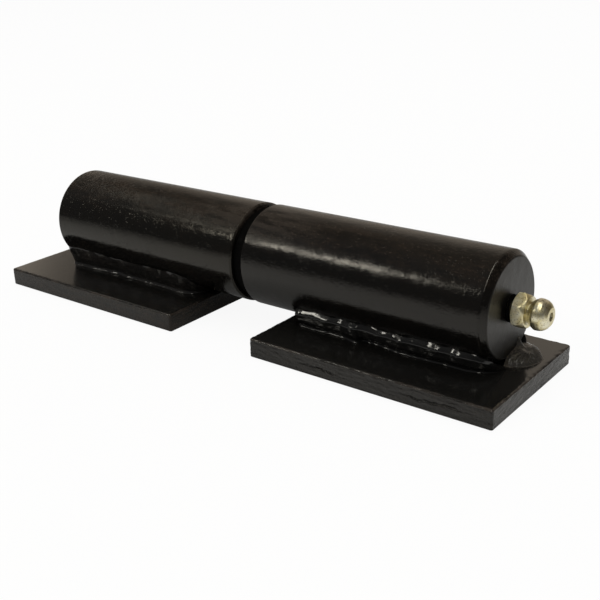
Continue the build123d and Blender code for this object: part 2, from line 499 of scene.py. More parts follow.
@dataclass(frozen=True)
class TurnedSteel:
    """Bare turned or ground steel, with rings round the hinge axis and a film of grease.

    Attributes:
        name: the material's name.
        steel: the clean steel.
        stain: the steel under old grease.
        staining: how much of the stain shows.
        gloss: roughness of the clean steel.
        rings_per_mm: how close the tool marks stand.
        ring_mm: height of the tool marks.
    """

    name: str
    steel: Colour = (0.42, 0.41, 0.40)
    stain: Colour = (0.16, 0.13, 0.10)
    staining: float = 0.5
    gloss: float = 0.24
    rings_per_mm: float = 2.6
    ring_mm: float = 0.012

    def make(self) -> bpy.types.Material:
        """Turn the steel and stain it.

        Returns:
            The material.
        """
        sheet = SurfaceSheet(self.name)
        place = sheet.place_mm()
        rings = sheet.noise(sheet.place_mm((1.0, 0.02, 0.02)), self.rings_per_mm, 3.0, 0.6)
        blotch = sheet.noise(place, 0.22, 4.0, 0.62)
        stain = sheet.smooth(0.42, 0.72, blotch) * self.staining
        return sheet.finish({
            "Base Color": sheet.mix(stain, self.steel, self.stain),
            "Metallic": 1.0,
            "Roughness": self.gloss + 0.12 * rings + 0.16 * stain,
            "Normal": sheet.bump(rings, self.ring_mm),
        })


@dataclass(frozen=True)
class YellowZinc:
    """Zinc plate with a pale yellow passivation and brownish flecks.

    Attributes:
        name: the material's name.
        zinc: the palest plate.
        yellow: the plate where the passivation is thickest.
        brown: the flecks.
        gloss: roughness of the plate.
        mark_mm: height of the tool marks and the flecks.
    """

    name: str
    zinc: Colour = (0.80, 0.76, 0.58)
    yellow: Colour = (0.68, 0.60, 0.34)
    brown: Colour = (0.20, 0.15, 0.08)
    gloss: float = 0.27
    mark_mm: float = 0.026

    def make(self) -> bpy.types.Material:
        """Plate the milled steel.

        Returns:
            The material.
        """
        sheet = SurfaceSheet(self.name)
        place = sheet.place_mm()
        tool_marks = sheet.noise(sheet.place_mm((1.0, 0.05, 0.05)), 5.0, 2.0)
        patch = sheet.noise(place, 0.55, 3.0, 0.6)
        fleck = sheet.noise(place, 2.8, 3.0, 0.6)
        tint = sheet.mix(sheet.smooth(0.35, 0.65, patch), self.zinc, self.yellow)
        tint = sheet.mix(sheet.smooth(0.54, 0.68, fleck) * 0.8, tint, self.brown)
        return sheet.finish({
            "Base Color": tint,
            "Metallic": 1.0,
            "Roughness": self.gloss + 0.16 * patch,
            "Normal": sheet.bump(tool_marks * 0.7 + fleck * 0.5, self.mark_mm),
        })


@dataclass(frozen=True)
class ScaleAndPaintedShade:
    """Matt black scale and old grease, on the washer and in the nipple's thread, kept near black also as
    painted shade for the gap between the barrels and under the hexagon.

    Attributes:
        name: the material's name.
        dark: the scale, dark enough to paint the shade in the gap and under the hexagon.
        worn: the scale where use has scuffed it.
        dullness: its roughness.
        grain_mm: height of its grain.
        lustre: how strongly it mirrors, as its index.
    """

    name: str
    dark: Colour = (0.0016, 0.0015, 0.0014)
    worn: Colour = (0.0045, 0.0042, 0.0040)
    dullness: float = 0.72
    grain_mm: float = 0.010
    lustre: float = 1.12

    def make(self) -> bpy.types.Material:
        """Lay the scale and its painted shade.

        Returns:
            The material.
        """
        sheet = SurfaceSheet(self.name)
        place = sheet.place_mm()
        wear = sheet.noise(place, 0.5, 4.0, 0.65)
        grain = sheet.noise(place, 3.0, 2.0)
        return sheet.finish({
            "Base Color": sheet.mix(sheet.smooth(0.5, 0.75, wear), self.dark, self.worn),
            "Roughness": self.dullness + 0.15 * wear,
            "Normal": sheet.bump(grain, self.grain_mm),
            "IOR": self.lustre,
        })


@dataclass(frozen=True)
class Finishes:
    """Every finish on the hinge, made once; each field is the piece or metal that wears it."""

    fixed_barrel: bpy.types.Material
    moving_barrel: bpy.types.Material
    fixed_plate: bpy.types.Material
    moving_plate: bpy.types.Material
    fixed_weld: bpy.types.Material
    moving_weld: bpy.types.Material
    end_weld: bpy.types.Material
    bore: bpy.types.Material
    pin: bpy.types.Material
    washer: bpy.types.Material
    zinc: bpy.types.Material
    ball: bpy.types.Material
    spring: bpy.types.Material

    @classmethod
    def make(cls) -> "Finishes":
        """Make all the materials, with their heights and ends taken from the frame.

        Returns:
            The set.
        """
        line_z = HingeLine.of("hinge_pin").z
        fixed_end = -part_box("fixed_barrel")[0].x
        moving_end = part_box("moving_barrel")[1].x
        return cls(
            fixed_barrel=GlossPaint(
                "black_enamel_fixed_barrel", line_z, fixed_end,
                browning=0.9, gloss=0.10, haze=0.02, sheen=(1.0, 0.94, 0.82),
                grit_mm=0.030, nib_mm=0.022, orange_peel_mm=0.04,
            ).make(),
            moving_barrel=GlossPaint("black_enamel_moving_barrel", line_z, moving_end).make(),
            # wear sets how strongly each plate's painted highlight along its top edge shows.
            fixed_plate=SheetPaint(
                "black_enamel_fixed_plate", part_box("fixed_plate")[1].z,
                browning=0.8, gloss=0.17, lustre=1.33, wear=0.7, cut_mm=0.10, pit_mm=0.06,
            ).make(),
            moving_plate=SheetPaint(
                "black_enamel_moving_plate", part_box("moving_plate")[1].z,
                browning=0.2, wear=0.6, cut_mm=0.20, pit_mm=0.16,
            ).make(),
            # The fixed weld's paler coat and patches are painted reflection of the room in its face.
            fixed_weld=WeldPaint(
                "black_enamel_fixed_weld", gloss=0.13,
                black=(0.0080, 0.0074, 0.0068), burnt=(0.019, 0.0155, 0.013),
            ).make(),
            moving_weld=WeldPaint("black_enamel_moving_weld").make(),
            # The end weld's pale grey coat and patches are painted sheen, for the floor and room that
            # the mound reflects.
            end_weld=WeldPaint(
                "black_enamel_end_weld", burning=0.9, gloss=0.24, grain_mm=0.006,
                black=(0.034, 0.0305, 0.026), burnt=(0.075, 0.064, 0.052),
            ).make(),
            bore=TurnedSteel("bored_steel", staining=0.8, gloss=0.32).make(),
            pin=TurnedSteel("ground_pin_steel").make(),
            washer=ScaleAndPaintedShade("oiled_washer_scale").make(),
            zinc=YellowZinc("yellow_zinc").make(),
            ball=TurnedSteel(
                "ball_steel", steel=(0.55, 0.54, 0.52), staining=0.1, gloss=0.12,
            ).make(),
            spring=TurnedSteel("spring_wire_steel", staining=0.2, gloss=0.22).make(),
        )


# ---------------------------------------------------------------- mesh building


@dataclass(frozen=True)
class HingeLine:
    """The line that all the round parts are turned about.

    Attributes:
        y: where it lies across the plates.
        z: its height.
    """

    y: float
    z: float

    @classmethod
    def of(cls, node: str) -> "HingeLine":
        """The middle line of a round CAD node."""
        low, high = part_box(node)
        return cls((low.y + high.y) / 2, (low.z + high.z) / 2)


@dataclass(frozen=True)
class Corner:
    """A corner of a turned outline.

    Attributes:
        x: place along the hinge line.
        radius: distance from the hinge line.
        ease: how far before and after the corner its rounding starts.
        finish: which of the piece's finishes the run after this corner takes.
    """

    x: float
    radius: float
    ease: float = 0.0
    finish: int = 0


def eased(corners: Sequence[Corner], closed: bool, run: float) -> list[Corner]:
    """Round an outline's corners and divide its long runs.

    Args:
        corners: the outline.
        closed: whether the last corner joins the first.
        run: the longest piece of a straight run.

    Returns:
        The finer outline.
    """
    steps = 5  # faces round an eased corner
    guard = 0.5  # how far past the ease a guard ring stands, in eases
    rounded: list[Corner] = []
    count = len(corners)
    for i, corner in enumerate(corners):
        here = Vector((corner.x, corner.radius))
        if corner.ease == 0 or (not closed and i in (0, count - 1)):
            rounded.append(corner)
            continue
        before = corners[i - 1]
        after = corners[(i + 1) % count]
        back = (Vector((before.x, before.radius)) - here).normalized() * corner.ease
        on = (Vector((after.x, after.radius)) - here).normalized() * corner.ease
        start, end = here + back, here + on
        points = [here + back * (1 + guard)]
        for k in range(steps + 1):
            t = k / steps
            points.append(start * (1 - t) ** 2 + here * (2 * t * (1 - t)) + end * t**2)
        points.append(here + on * (1 + guard))
        for k, point in enumerate(points):
            finish = corner.finish if k > steps // 2 else before.finish
            rounded.append(Corner(point.x, point.y, 0.0, finish))
    fine: list[Corner] = []
    last = len(rounded) if closed else len(rounded) - 1
    for i in range(last):
        a, b = rounded[i], rounded[(i + 1) % len(rounded)]
        cuts = max(1, math.ceil(math.hypot(b.x - a.x, b.radius - a.radius) / run))
        for k in range(cuts):
            t = k / cuts
            x, radius = a.x + (b.x - a.x) * t, a.radius + (b.radius - a.radius) * t
            fine.append(Corner(x, radius, 0.0, a.finish))
    if not closed:
        fine.append(rounded[-1])
    return fine


def finished_object(
    name: str, mesh: bpy.types.Mesh, materials: Sequence[bpy.types.Material], crease: float = 35.0
) -> bpy.types.Object:
    """Turn a raw mesh into a piece.

    Args:
        name: the piece's name.
        mesh: its mesh, which may have doubled points or mixed face directions.
        materials: its material slots.
        crease: edges sharper than this angle, in degrees, stay sharp.

    Returns:
        The object, merged, facing outwards and smooth shaded, with a warning if it has open edges.
    """
    work = bmesh.new()
    work.from_mesh(mesh)
    bmesh.ops.remove_doubles(work, verts=work.verts, dist=WELD_DISTANCE)
    bmesh.ops.recalc_face_normals(work, faces=work.faces)
    if work.calc_volume(signed=True) < 0:
        bmesh.ops.reverse_faces(work, faces=work.faces)
    for face in work.faces:
        face.smooth = True
    open_edges = sum(1 for edge in work.edges if len(edge.link_faces) != 2)
    work.to_mesh(mesh)
    work.free()
    mesh.name = name
    mesh.set_sharp_from_angle(angle=math.radians(crease))
    mesh.materials.clear()
    for material in materials:
        mesh.materials.append(material)
    piece = bpy.data.objects.new(name, mesh)
    bpy.context.scene.collection.objects.link(piece)
    if open_edges:
        log.warning("%s has %d open edges", name, open_edges)
    return piece


def turned_piece(
    name: str,
    corners: Sequence[Corner],
    line: HingeLine,
    materials: Sequence[bpy.types.Material],
    sides: int = 192,
    run: float = 2 * MM,
    closed: bool = False,
    shape: Optional[Callable[[float, float, float], float]] = None,
) -> bpy.types.Object:
    """Turn an outline about the hinge line.

    Args:
        name: the piece's name.
        corners: the outline; an open one starts and ends on the line.
        line: the hinge line.
        materials: the piece's finishes.
        sides: how many points a full turn has.
        run: the longest row of faces along the outline.
        closed: whether the outline is a closed ring that leaves a hole on the line.
        shape: changes a radius for a place along the line and an angle, for flats.

    Returns:
        The finished object.
    """
    outline = eased(corners, closed, run)
    points: list[tuple[float, float, float]] = []
    rings: list[list[int]] = []
    for corner in outline:
        if corner.radius < ON_LINE:
            points.append((corner.x, line.y, line.z))
            rings.append([len(points) - 1] * sides)
            continue
        first = len(points)
        for k in range(sides):
            turn = 2 * math.pi * k / sides
            radius = shape(corner.x, turn, corner.radius) if shape else corner.radius
            y, z = line.y + radius * math.sin(turn), line.z + radius * math.cos(turn)
            points.append((corner.x, y, z))
        rings.append(list(range(first, first + sides)))
    faces: list[list[int]] = []
    finishes: list[int] = []
    last = len(rings) if closed else len(rings) - 1
    for i in range(last):
        a, b = rings[i], rings[(i + 1) % len(rings)]
        for k in range(sides):
            n = (k + 1) % sides
            face = list(dict.fromkeys([a[k], a[n], b[n], b[k]]))
            if len(face) > 2:
                faces.append(face)
                finishes.append(outline[i].finish)
    mesh = bpy.data.meshes.new(name)
    mesh.from_pydata(points, [], faces)
    mesh.polygons.foreach_set("material_index", finishes)
    return finished_object(name, mesh, materials)


def grown(name: str, tree: bpy.types.NodeTree, values: dict[str, Any]) -> bpy.types.Mesh:
    """Run a Geometry Nodes tree once and keep what it makes as a plain mesh.

    Args:
        name: the mesh's name.
        tree: the tree.
        values: the modifier's inputs by the names in the tree's interface.

    Returns:
        The mesh, free of the modifier and its host.
    """
    host = bpy.data.objects.new(name + "_host", bpy.data.meshes.new(name + "_seed"))
    bpy.context.scene.collection.objects.link(host)
    modifier = host.modifiers.new(name, "NODES")
    modifier.node_group = tree
    for item in tree.interface.items_tree:
        if item.item_type == "SOCKET" and item.in_out == "INPUT" and item.name in values:
            modifier[item.identifier] = values[item.name]
    shown = host.evaluated_get(bpy.context.evaluated_depsgraph_get())
    mesh = bpy.data.meshes.new_from_object(shown)
    host.modifiers.remove(modifier)
    bpy.data.objects.remove(host)
    mesh.name = name
    return mesh


class GrowthSheet(NodeSheet):
    """A Geometry Nodes tree with named inputs."""

    def __init__(self, name: str, inputs: dict[str, tuple[str, Any]]) -> None:
        """Make the tree.

        Args:
            name: the tree's name.
            inputs: socket kind and starting value of each named input.
        """
        super().__init__(bpy.data.node_groups.new(name, "GeometryNodeTree"))
        for label, (kind, value) in inputs.items():
            socket = self.tree.interface.new_socket(name=label, in_out="INPUT", socket_type=kind)
            if value is not None:
                socket.default_value = value
        self.tree.interface.new_socket(
            name="Geometry", in_out="OUTPUT", socket_type="NodeSocketGeometry"
        )
        self.inputs = self.add("NodeGroupInput")

    def given(self, label: str) -> Wire:
        """One of the tree's named inputs."""
        return self.inputs[label]

    def grid(self) -> tuple[Wire, Wire, Wire]:
        """Lay a flat grid of Columns by Rows points.

        Returns:
            The grid, and each of its points' place along and across it, from -0.5 to 0.5.
        """
        grid = self.add("GeometryNodeMeshGrid", {}, {
            "Size X": 1.0, "Size Y": 1.0,
            "Vertices X": self.given("Columns"), "Vertices Y": self.given("Rows"),
        })
        parts = self.position()
        return grid, parts["X"], parts["Y"]

    def position(self) -> Wire:
        """Each point's place, as the three outputs of one node."""
        place = self.add("GeometryNodeInputPosition")
        return self.add("ShaderNodeSeparateXYZ", {}, {0: place})

    def moved(self, shape: Wire, place: Wire) -> Wire:
        """The shape with each point set at a new place."""
        return self.add("GeometryNodeSetPosition", {}, {"Geometry": shape, "Position": place})

    def merged(self, shape: Wire) -> Wire:
        """The shape with its doubled points made one."""
        sockets = {"Geometry": shape, "Distance": 10 * WELD_DISTANCE}
        return self.add("GeometryNodeMergeByDistance", {}, sockets)

    def close(self, shape: Wire) -> bpy.types.NodeTree:
        """End the tree in Realize Instances and Set Material.

        Args:
            shape: the geometry so far.

        Returns:
            The finished tree.
        """
        real = self.add("GeometryNodeRealizeInstances", {}, {"Geometry": shape})
        dressed = self.add(
            "GeometryNodeSetMaterial", {}, {"Geometry": real, "Material": self.given("Finish")}
        )
        self.add("NodeGroupOutput", {}, {0: dressed})
        return self.tree


# ---------------------------------------------------------------- weld beads


class Side(Enum):
    """The two long sides of a barrel."""

    FRONT = -1
    REAR = 1


@dataclass(frozen=True)
class BeadShape:
    """How one run of weld was laid; lengths are millimetres.

    Attributes:
        toe: distance of the plate toe from the hinge line.
        climb: height of the barrel toe over the plate.
        root: distance of the hidden root from the hinge line.
        bulge: how far the face stands out between its toes.
        pitch: length of one ripple.
        ripple: height of a ripple.
        sweep: how many ripples the crests trail back across the face.
        waver: how far the plate toe wanders.
        lump: height of the uneven lumps.
        wrinkle: height of the long wrinkles low on the face.
        fillet: radius of the paint's hollow along the plate toe.
        taper: length of the rounded end at low X.
        end_taper: length of the rounded end at high X.
        lap: how far the toe steps where the welder started again.
        lap_at: how far from the start that is.
        seed: shifts the random parts.
    """

    toe: float
    climb: float
    root: float = 3.2
    bulge: float = 1.03
    pitch: float = 7.4
    ripple: float = 0.25
    sweep: float = 0.55
    waver: float = 0.9
    lump: float = 0.20
    wrinkle: float = 0.08
    fillet: float = 0.5
    taper: float = 3.0
    end_taper: float = 3.0
    lap: float = 0.0
    lap_at: float = 0.0
    seed: float = 1.0


def lengths_of(shape: Union[BeadShape, "EndBeadShape"], labels: Iterable[str]) -> dict[str, float]:
    """A bead's sizes in metres.

    Args:
        shape: how the bead was laid.
        labels: the tree's inputs, each named like a field of the shape.

    Returns:
        The value of each input.
    """
    return {label: getattr(shape, label.lower().replace(" ", "_")) * MM for label in labels}


class SideBeadTree:
    """Geometry Nodes for a fillet bead between a barrel's round side and its plate."""

    PLACES = ("Start", "End", "Barrel Radius", "Line Y", "Plate Top")
    LENGTHS = (
        "Toe", "Climb", "Root", "Bulge", "Pitch", "Ripple", "Waver", "Lump", "Wrinkle", "Fillet",
        "Taper", "End Taper", "Lap", "Lap At",
    )
    ROWS = 44
    COLUMN_STEP = 0.22 * MM

    def __init__(self) -> None:
        """Build the tree once for every side bead."""
        inputs = {name: ("NodeSocketFloat", 0.0) for name in self.PLACES + self.LENGTHS}
        inputs |= {"Side": ("NodeSocketFloat", 1.0), "Sweep": ("NodeSocketFloat", 1.0)}
        inputs |= {"Seed": ("NodeSocketFloat", 1.0), "Columns": ("NodeSocketInt", 200)}
        inputs |= {"Rows": ("NodeSocketInt", 40), "Finish": ("NodeSocketMaterial", None)}
        self.sheet = GrowthSheet("side_bead", inputs)
        self.tree = self._build()

    def _build(self) -> bpy.types.NodeTree:
        """Lay a grid along the bead and wrap it round the bead's section.

        Going across, the grid makes the hollow along the toe, then the face up to the barrel,
        and last the hidden back.

        Returns:
            The finished tree.
        """
        s = self.sheet
        grid, grid_x, grid_y = s.grid()
        along, across = grid_x + 0.5, grid_y + 0.5
        length = s.given("End") - s.given("Start")
        x = s.given("Start") + length * along
        from_low = along * length / s.given("Taper")
        from_high = (1.0 - along) * length / s.given("End Taper")
        near = 1.0 - s.math("MINIMUM", s.math("MINIMUM", from_low, from_high), 1.0)
        full = s.math("SQRT", s.math("MAXIMUM", 1.0 - near * near, 0.0))
        hollow_share, face_share = 0.14, 0.84
        buried, sunk = 0.12 * MM, -0.08 * MM
        turn = s.math("MINIMUM", across / hollow_share, 1.0) * (math.pi / 2)
        t = s.clamped((across - hollow_share) / (face_share - hollow_share))
        hidden = s.math("MAXIMUM", (across - face_share) / (1.0 - face_share), 0.0)
        seed = s.given("Seed")
        wander = self._wander(x, seed, 0.10) + self._wander(x, seed + 7.0, 0.33) * 0.45
        climb_wander = self._wander(x, seed + 19.0, 0.16)
        ripple = self._ripple(x, t, seed)
        toe = s.given("Toe") + s.given("Waver") * wander + s.given("Ripple") * (ripple - 0.5) * 0.4
        toe = toe + s.given("Lap") * self._lap(x)
        toe = s.given("Root") + (toe - s.given("Root")) * full
        climb = (s.given("Climb") + s.given("Waver") * 0.7 * climb_wander) * (0.15 + 0.85 * full)
        radius = s.given("Barrel Radius")
        lift = s.math("ARCCOSINE", (radius - climb) / radius)
        inside = radius - buried
        top_across = inside * s.math("SINE", lift)
        top_up = radius - inside * s.math("COSINE", lift)
        fillet = s.given("Fillet") * full
        foot_across, foot_up = toe - fillet, fillet
        run_across, run_up = top_across - foot_across, top_up - foot_up
        reach = s.math("SQRT", run_across * run_across + run_up * run_up)
        lumps = self._lumps(x, t, seed)
        swell = self._roll_over(t)
        body = s.smooth(0.0, 0.4, t) * (1.0 - s.smooth(0.97, 1.0, t))
        shoulder = s.smooth(0.42, 0.76, t) * (1.0 - s.smooth(0.97, 1.0, t))
        relief = s.given("Lump") * lumps * body
        relief = relief + s.given("Ripple") * ripple * (0.1 * body + 0.9 * shoulder)
        relief = relief + s.given("Wrinkle") * self._wrinkles(x, t, seed) * swell
        out = (swell * s.given("Bulge") + relief) * full
        face_across = foot_across + run_across * t + run_up / reach * out
        face_up = foot_up + run_up * t - run_across / reach * out
        hollow_across = foot_across + fillet * (1.0 - s.math("SINE", turn))
        hollow_up = sunk + (foot_up - sunk) * (1.0 - s.math("COSINE", turn))
        in_face = s.math("GREATER_THAN", across, hollow_share)
        first_half = s.clamped(hidden * 2.0)
        second_half = s.clamped(hidden * 2.0 - 1.0)
        back_across = s.blend(second_half, s.blend(first_half, top_across, s.given("Root")), toe)
        back_up = s.blend(second_half, s.blend(first_half, top_up, sunk), sunk)
        in_back = s.math("GREATER_THAN", hidden, 0.0)
        section_across = s.blend(in_back, s.blend(in_face, hollow_across, face_across), back_across)
        section_up = s.blend(in_back, s.blend(in_face, hollow_up, face_up), back_up)
        gather = s.math("MINIMUM", full * 6.0, 1.0)
        final_across = s.blend(gather, s.given("Root"), section_across)
        final_up = s.blend(gather, sunk, section_up)
        place = s.vector(
            x,
            s.given("Line Y") + s.given("Side") * final_across,
            s.given("Plate Top") + final_up,
        )
        return s.close(s.merged(s.moved(grid, place)))

    def _roll_over(self, t: Wire) -> Wire:
        """The section's fullness: a steep face with a flat chamfer along its top.

        Args:
            t: how far up the face, from 0 at the toe to 1 at the barrel.

        Returns:
            From 0 at the toe, over 1, to about 0 at the barrel.
        """
        s = self.sheet
        start = 0.26
        rise = (s.smooth(-0.20, 0.40, t) - start) / (1.0 - start)
        brow, ease, slope = 0.76, 0.05, 4.11
        past = t - brow
        chamfer = (past + s.math("SQRT", past * past + ease * ease)) * 0.5
        return rise * (1.0 - slope * chamfer)

    def _wander(self, x: Wire, seed: Number, per_mm: float) -> Wire:
        """A slow random value from about -0.5 to 0.5 along the bead."""
        s = self.sheet
        return s.noise(s.vector(x / MM, seed * 13.0, seed * 3.7), per_mm, 1.0) - 0.5

    def _ripple(self, x: Wire, t: Wire, seed: Wire) -> Wire:
        """The stacked ripples: each rises and falls, and trails back across the face.

        Args:
            x: place along the bead.
            t: how far up the face.
            seed: shifts the uneven spacing.

        Returns:
            From 0 between ripples to 1 on a crest.
        """
        s = self.sheet
        uneven = self._wander(x, seed + 31.0, 0.12) * 1.1
        trail = s.given("Sweep") * (1.0 - t) * (1.0 - 0.3 * t)
        phase = s.math("FRACT", x / s.given("Pitch") + trail + uneven + seed * 0.37 + 64.0)
        crest = 0.52
        rise = s.smooth(0.0, crest, phase)
        fall = s.smooth(crest, 1.0, phase)
        return rise - fall

    def _lap(self, x: Wire) -> Wire:
        """Where the welder started again: the toe flares out, steps back in and recovers.

        Args:
            x: place along the bead.

        Returns:
            From 1 just before the step to -0.7 just after it, and 0 away from it.
        """
        s = self.sheet
        past = (x - s.given("Start") - s.given("Lap At")) / MM
        flare = s.smooth(-5.0, -0.5, past)
        step = s.smooth(-0.5, 0.4, past) * 1.7
        recover = s.smooth(1.5, 10.0, past) * 0.7
        return flare - step + recover

    def _wrinkles(self, x: Wire, t: Wire, seed: Wire) -> Wire:
        """Long wrinkles low on the face, that run slightly across it.

        Args:
            x: place along the bead.
            t: how far up the face.
            seed: shifts them.

        Returns:
            From about -1 to 1.
        """
        s = self.sheet
        spot = s.vector(x / MM * 0.16, t * 9.0 + x / MM * 0.12, seed * 3.1 + 11.0)
        return (s.noise(spot, 1.0, 2.0) - 0.5) * 2.2 * (1.0 - s.smooth(0.50, 0.90, t))

    def _lumps(self, x: Wire, t: Wire, seed: Wire) -> Wire:
        """Uneven lumps over the face.

        Args:
            x: place along the bead.
            t: how far up the face.
            seed: shifts them.

        Returns:
            From about -1 to 1.
        """
        s = self.sheet
        coarse = s.noise(s.vector(x / MM, t * 2.5, seed * 5.3), 0.28, 1.0) - 0.5
        fine = s.noise(s.vector(x / MM, t * 4.0, seed * 2.1 + 40.0), 0.75, 2.0) - 0.5
        return coarse * 1.7 + fine * 0.55

    def lay(
        self, name: str, shape: BeadShape, start: float, end: float, line: HingeLine,
        radius: float, plate_top: float, side: Side, finish: bpy.types.Material,
    ) -> bpy.types.Mesh:
        """Lay one bead.

        Args:
            name: the mesh's name.
            shape: how it was laid.
            start: where it begins along X.
            end: where it ends.
            line: the hinge line.
            radius: the barrel's radius.
            plate_top: height of the plate's top face.
            side: which side of the barrel.
            finish: its material.

        Returns:
            The bead as a plain mesh.
        """
        values: dict[str, Any] = lengths_of(shape, self.LENGTHS)
        values |= {"Start": start, "End": end, "Barrel Radius": radius, "Line Y": line.y}
        values |= {"Plate Top": plate_top, "Side": float(side.value), "Sweep": shape.sweep}
        values |= {"Seed": shape.seed, "Finish": finish, "Rows": self.ROWS}
        values["Columns"] = round((end - start) / self.COLUMN_STEP)
        return grown(name, self.tree, values)


@dataclass(frozen=True)
class EndBeadShape:
    """The weld at the foot of a barrel's end face; lengths are millimetres.

    Attributes:
        middle_y: where its middle is, across the plate.
        reach: how far it spreads over the plate.
        height: height of the mound against the face.
        crest: how much higher the pointed crest is.
        crest_shift: how far the crest stands from the middle.
        crest_width: half the crest's width.
        folds: how many folds fan out in half a turn.
        fold: height of a fold.
        lump: height of the uneven lumps.
        skirt: width of the paint's hollow along the toe.
        pole: how far from the face the folds meet.
        seed: shifts the random parts.
    """

    middle_y: float
    reach: float = 6.4
    height: float = 2.2
    crest: float = 2.3
    crest_shift: float = 0.3
    crest_width: float = 0.65
    folds: float = 11.0
    fold: float = 0.38
    lump: float = 0.6
    skirt: float = 0.35
    pole: float = 2.7
    seed: float = 3.0


class EndBeadTree:
    """Geometry Nodes for the weld at the foot of a barrel's end: a mound whose folds fan out."""

    PLACES = ("Face X", "Plate Top")
    LENGTHS = (
        "Middle Y", "Reach", "Height", "Crest", "Crest Shift", "Crest Width", "Fold", "Lump",
        "Skirt", "Pole",
    )
    SPOKES = 181
    ROWS = 90

    def __init__(self) -> None:
        """Build the tree."""
        inputs = {name: ("NodeSocketFloat", 0.0) for name in self.PLACES + self.LENGTHS}
        inputs |= {"Folds": ("NodeSocketFloat", 10.0), "Seed": ("NodeSocketFloat", 1.0)}
        inputs |= {"Columns": ("NodeSocketInt", 141), "Rows": ("NodeSocketInt", 60)}
        inputs |= {"Finish": ("NodeSocketMaterial", None)}
        self.sheet = GrowthSheet("end_bead", inputs)
        self.tree = self._build()

    def _build(self) -> bpy.types.NodeTree:
        """Lay a grid as a fan.

        Its columns are spokes, its rows run out over the top and back below, and its outermost
        columns close it against the barrel's face.

        Returns:
            The finished tree.
        """
        s = self.sheet
        grid, along, grid_y = s.grid()
        across = grid_y + 0.5
        spoke = 1.0 / (s.given("Columns") - 1.0)
        turn_share = s.math("MAXIMUM", s.math("MINIMUM", along / (0.5 - spoke * 2.0), 1.0), -1.0)
        wall = s.math("GREATER_THAN", s.math("ABSOLUTE", along), 0.5 - spoke * 1.5)
        middle = s.math("GREATER_THAN", s.math("ABSOLUTE", along), 0.5 - spoke * 0.5)
        turn = turn_share * (math.pi / 2)
        top_share, dome_share = 0.86, 0.93
        out = s.math("MINIMUM", across / top_share, 1.0)
        below = s.math("MAXIMUM", (across - top_share) / (1.0 - top_share), 0.0)
        side, ahead = s.math("SINE", turn), s.math("COSINE", turn)
        seed = s.given("Seed")
        sway = s.noise(s.vector(side * 2.0, ahead * 2.0, seed * 9.0), 1.0, 2.0) - 0.5
        reach = s.given("Reach") * (1.0 + 0.22 * sway) - s.given("Skirt")
        skirt = s.smooth(dome_share, 1.0, out)
        inner = s.math("MINIMUM", out / dome_share, 1.0)
        radius = (reach * inner + s.given("Skirt") * skirt) * (1.0 - below)
        oval = 0.90
        x, y = radius * ahead * oval, radius * side
        dome = s.math("MAXIMUM", 1.0 - inner ** 3.6, 0.0) ** 0.8
        spot = s.vector(x / MM, y / MM, seed * 4.0)
        lumps = (s.noise(spot, 0.45, 2.0) - 0.5) * (1.0 - inner ** 6.0)
        from_pole = x - s.given("Pole")
        fan = s.math("ARCTAN2", y, from_pole)
        spread = s.math("SQRT", y * y + from_pole * from_pole) / s.given("Reach")
        uneven = s.noise(s.vector(fan * 2.4, seed, 1.0), 1.0, 1.0) - 0.4
        strength = 0.3 + 1.6 * s.math("ABSOLUTE", uneven)
        wave = s.math("SINE", fan * s.given("Folds") * 2.0 + 5.0 * sway + spread * 1.5)
        open_side = s.smooth(-0.8, 0.2, s.math("COSINE", fan))
        folds = wave * strength * open_side * s.smooth(0.06, 0.35, spread)
        folds = folds * (1.0 - s.smooth(0.86, 1.0, inner))
        from_crest = (y - s.given("Crest Shift")) / s.given("Crest Width")
        crest_depth = 0.9 * MM
        crest = s.math("EXPONENT", 0.0 - from_crest * from_crest - (x / crest_depth) ** 1.6)
        rough = s.given("Lump") * lumps + s.given("Fold") * folds + s.given("Crest") * crest
        lip, dip_depth, buried, sunk = 0.1 * MM, 0.4 * MM, 0.05 * MM, -0.12 * MM
        dip = s.math("EXPONENT", 0.0 - (spread / 0.16) ** 2.0) * dip_depth
        height = s.given("Height") * dome + rough * dome ** 0.4 + lip * (1.0 - skirt) - dip
        in_foot = s.math("GREATER_THAN", below, 0.0)
        top_z = s.blend(in_foot, height, sunk)
        wall_z = s.blend(in_foot, s.given("Height") * dome, sunk)
        place = s.vector(
            s.given("Face X") + s.blend(wall, x, -buried),
            s.given("Middle Y") + s.blend(middle, y, 0.0),
            s.given("Plate Top") + s.blend(middle, top_z, wall_z),
        )
        return s.close(s.merged(s.moved(grid, place)))

    def lay(
        self, name: str, shape: EndBeadShape, face_x: float, plate_top: float,
        finish: bpy.types.Material,
    ) -> bpy.types.Mesh:
        """Lay the bead.

        Args:
            name: the mesh's name.
            shape: how it was laid.
            face_x: where the barrel's end face stands.
            plate_top: height of the plate's top face.
            finish: its material.

        Returns:
            The bead as a plain mesh.
        """
        values: dict[str, Any] = lengths_of(shape, self.LENGTHS)
        values |= {"Face X": face_x, "Plate Top": plate_top, "Folds": shape.folds}
        values |= {"Seed": shape.seed, "Finish": finish, "Columns": self.SPOKES, "Rows": self.ROWS}
        return grown(name, self.tree, values)


# ---------------------------------------------------------------- plates


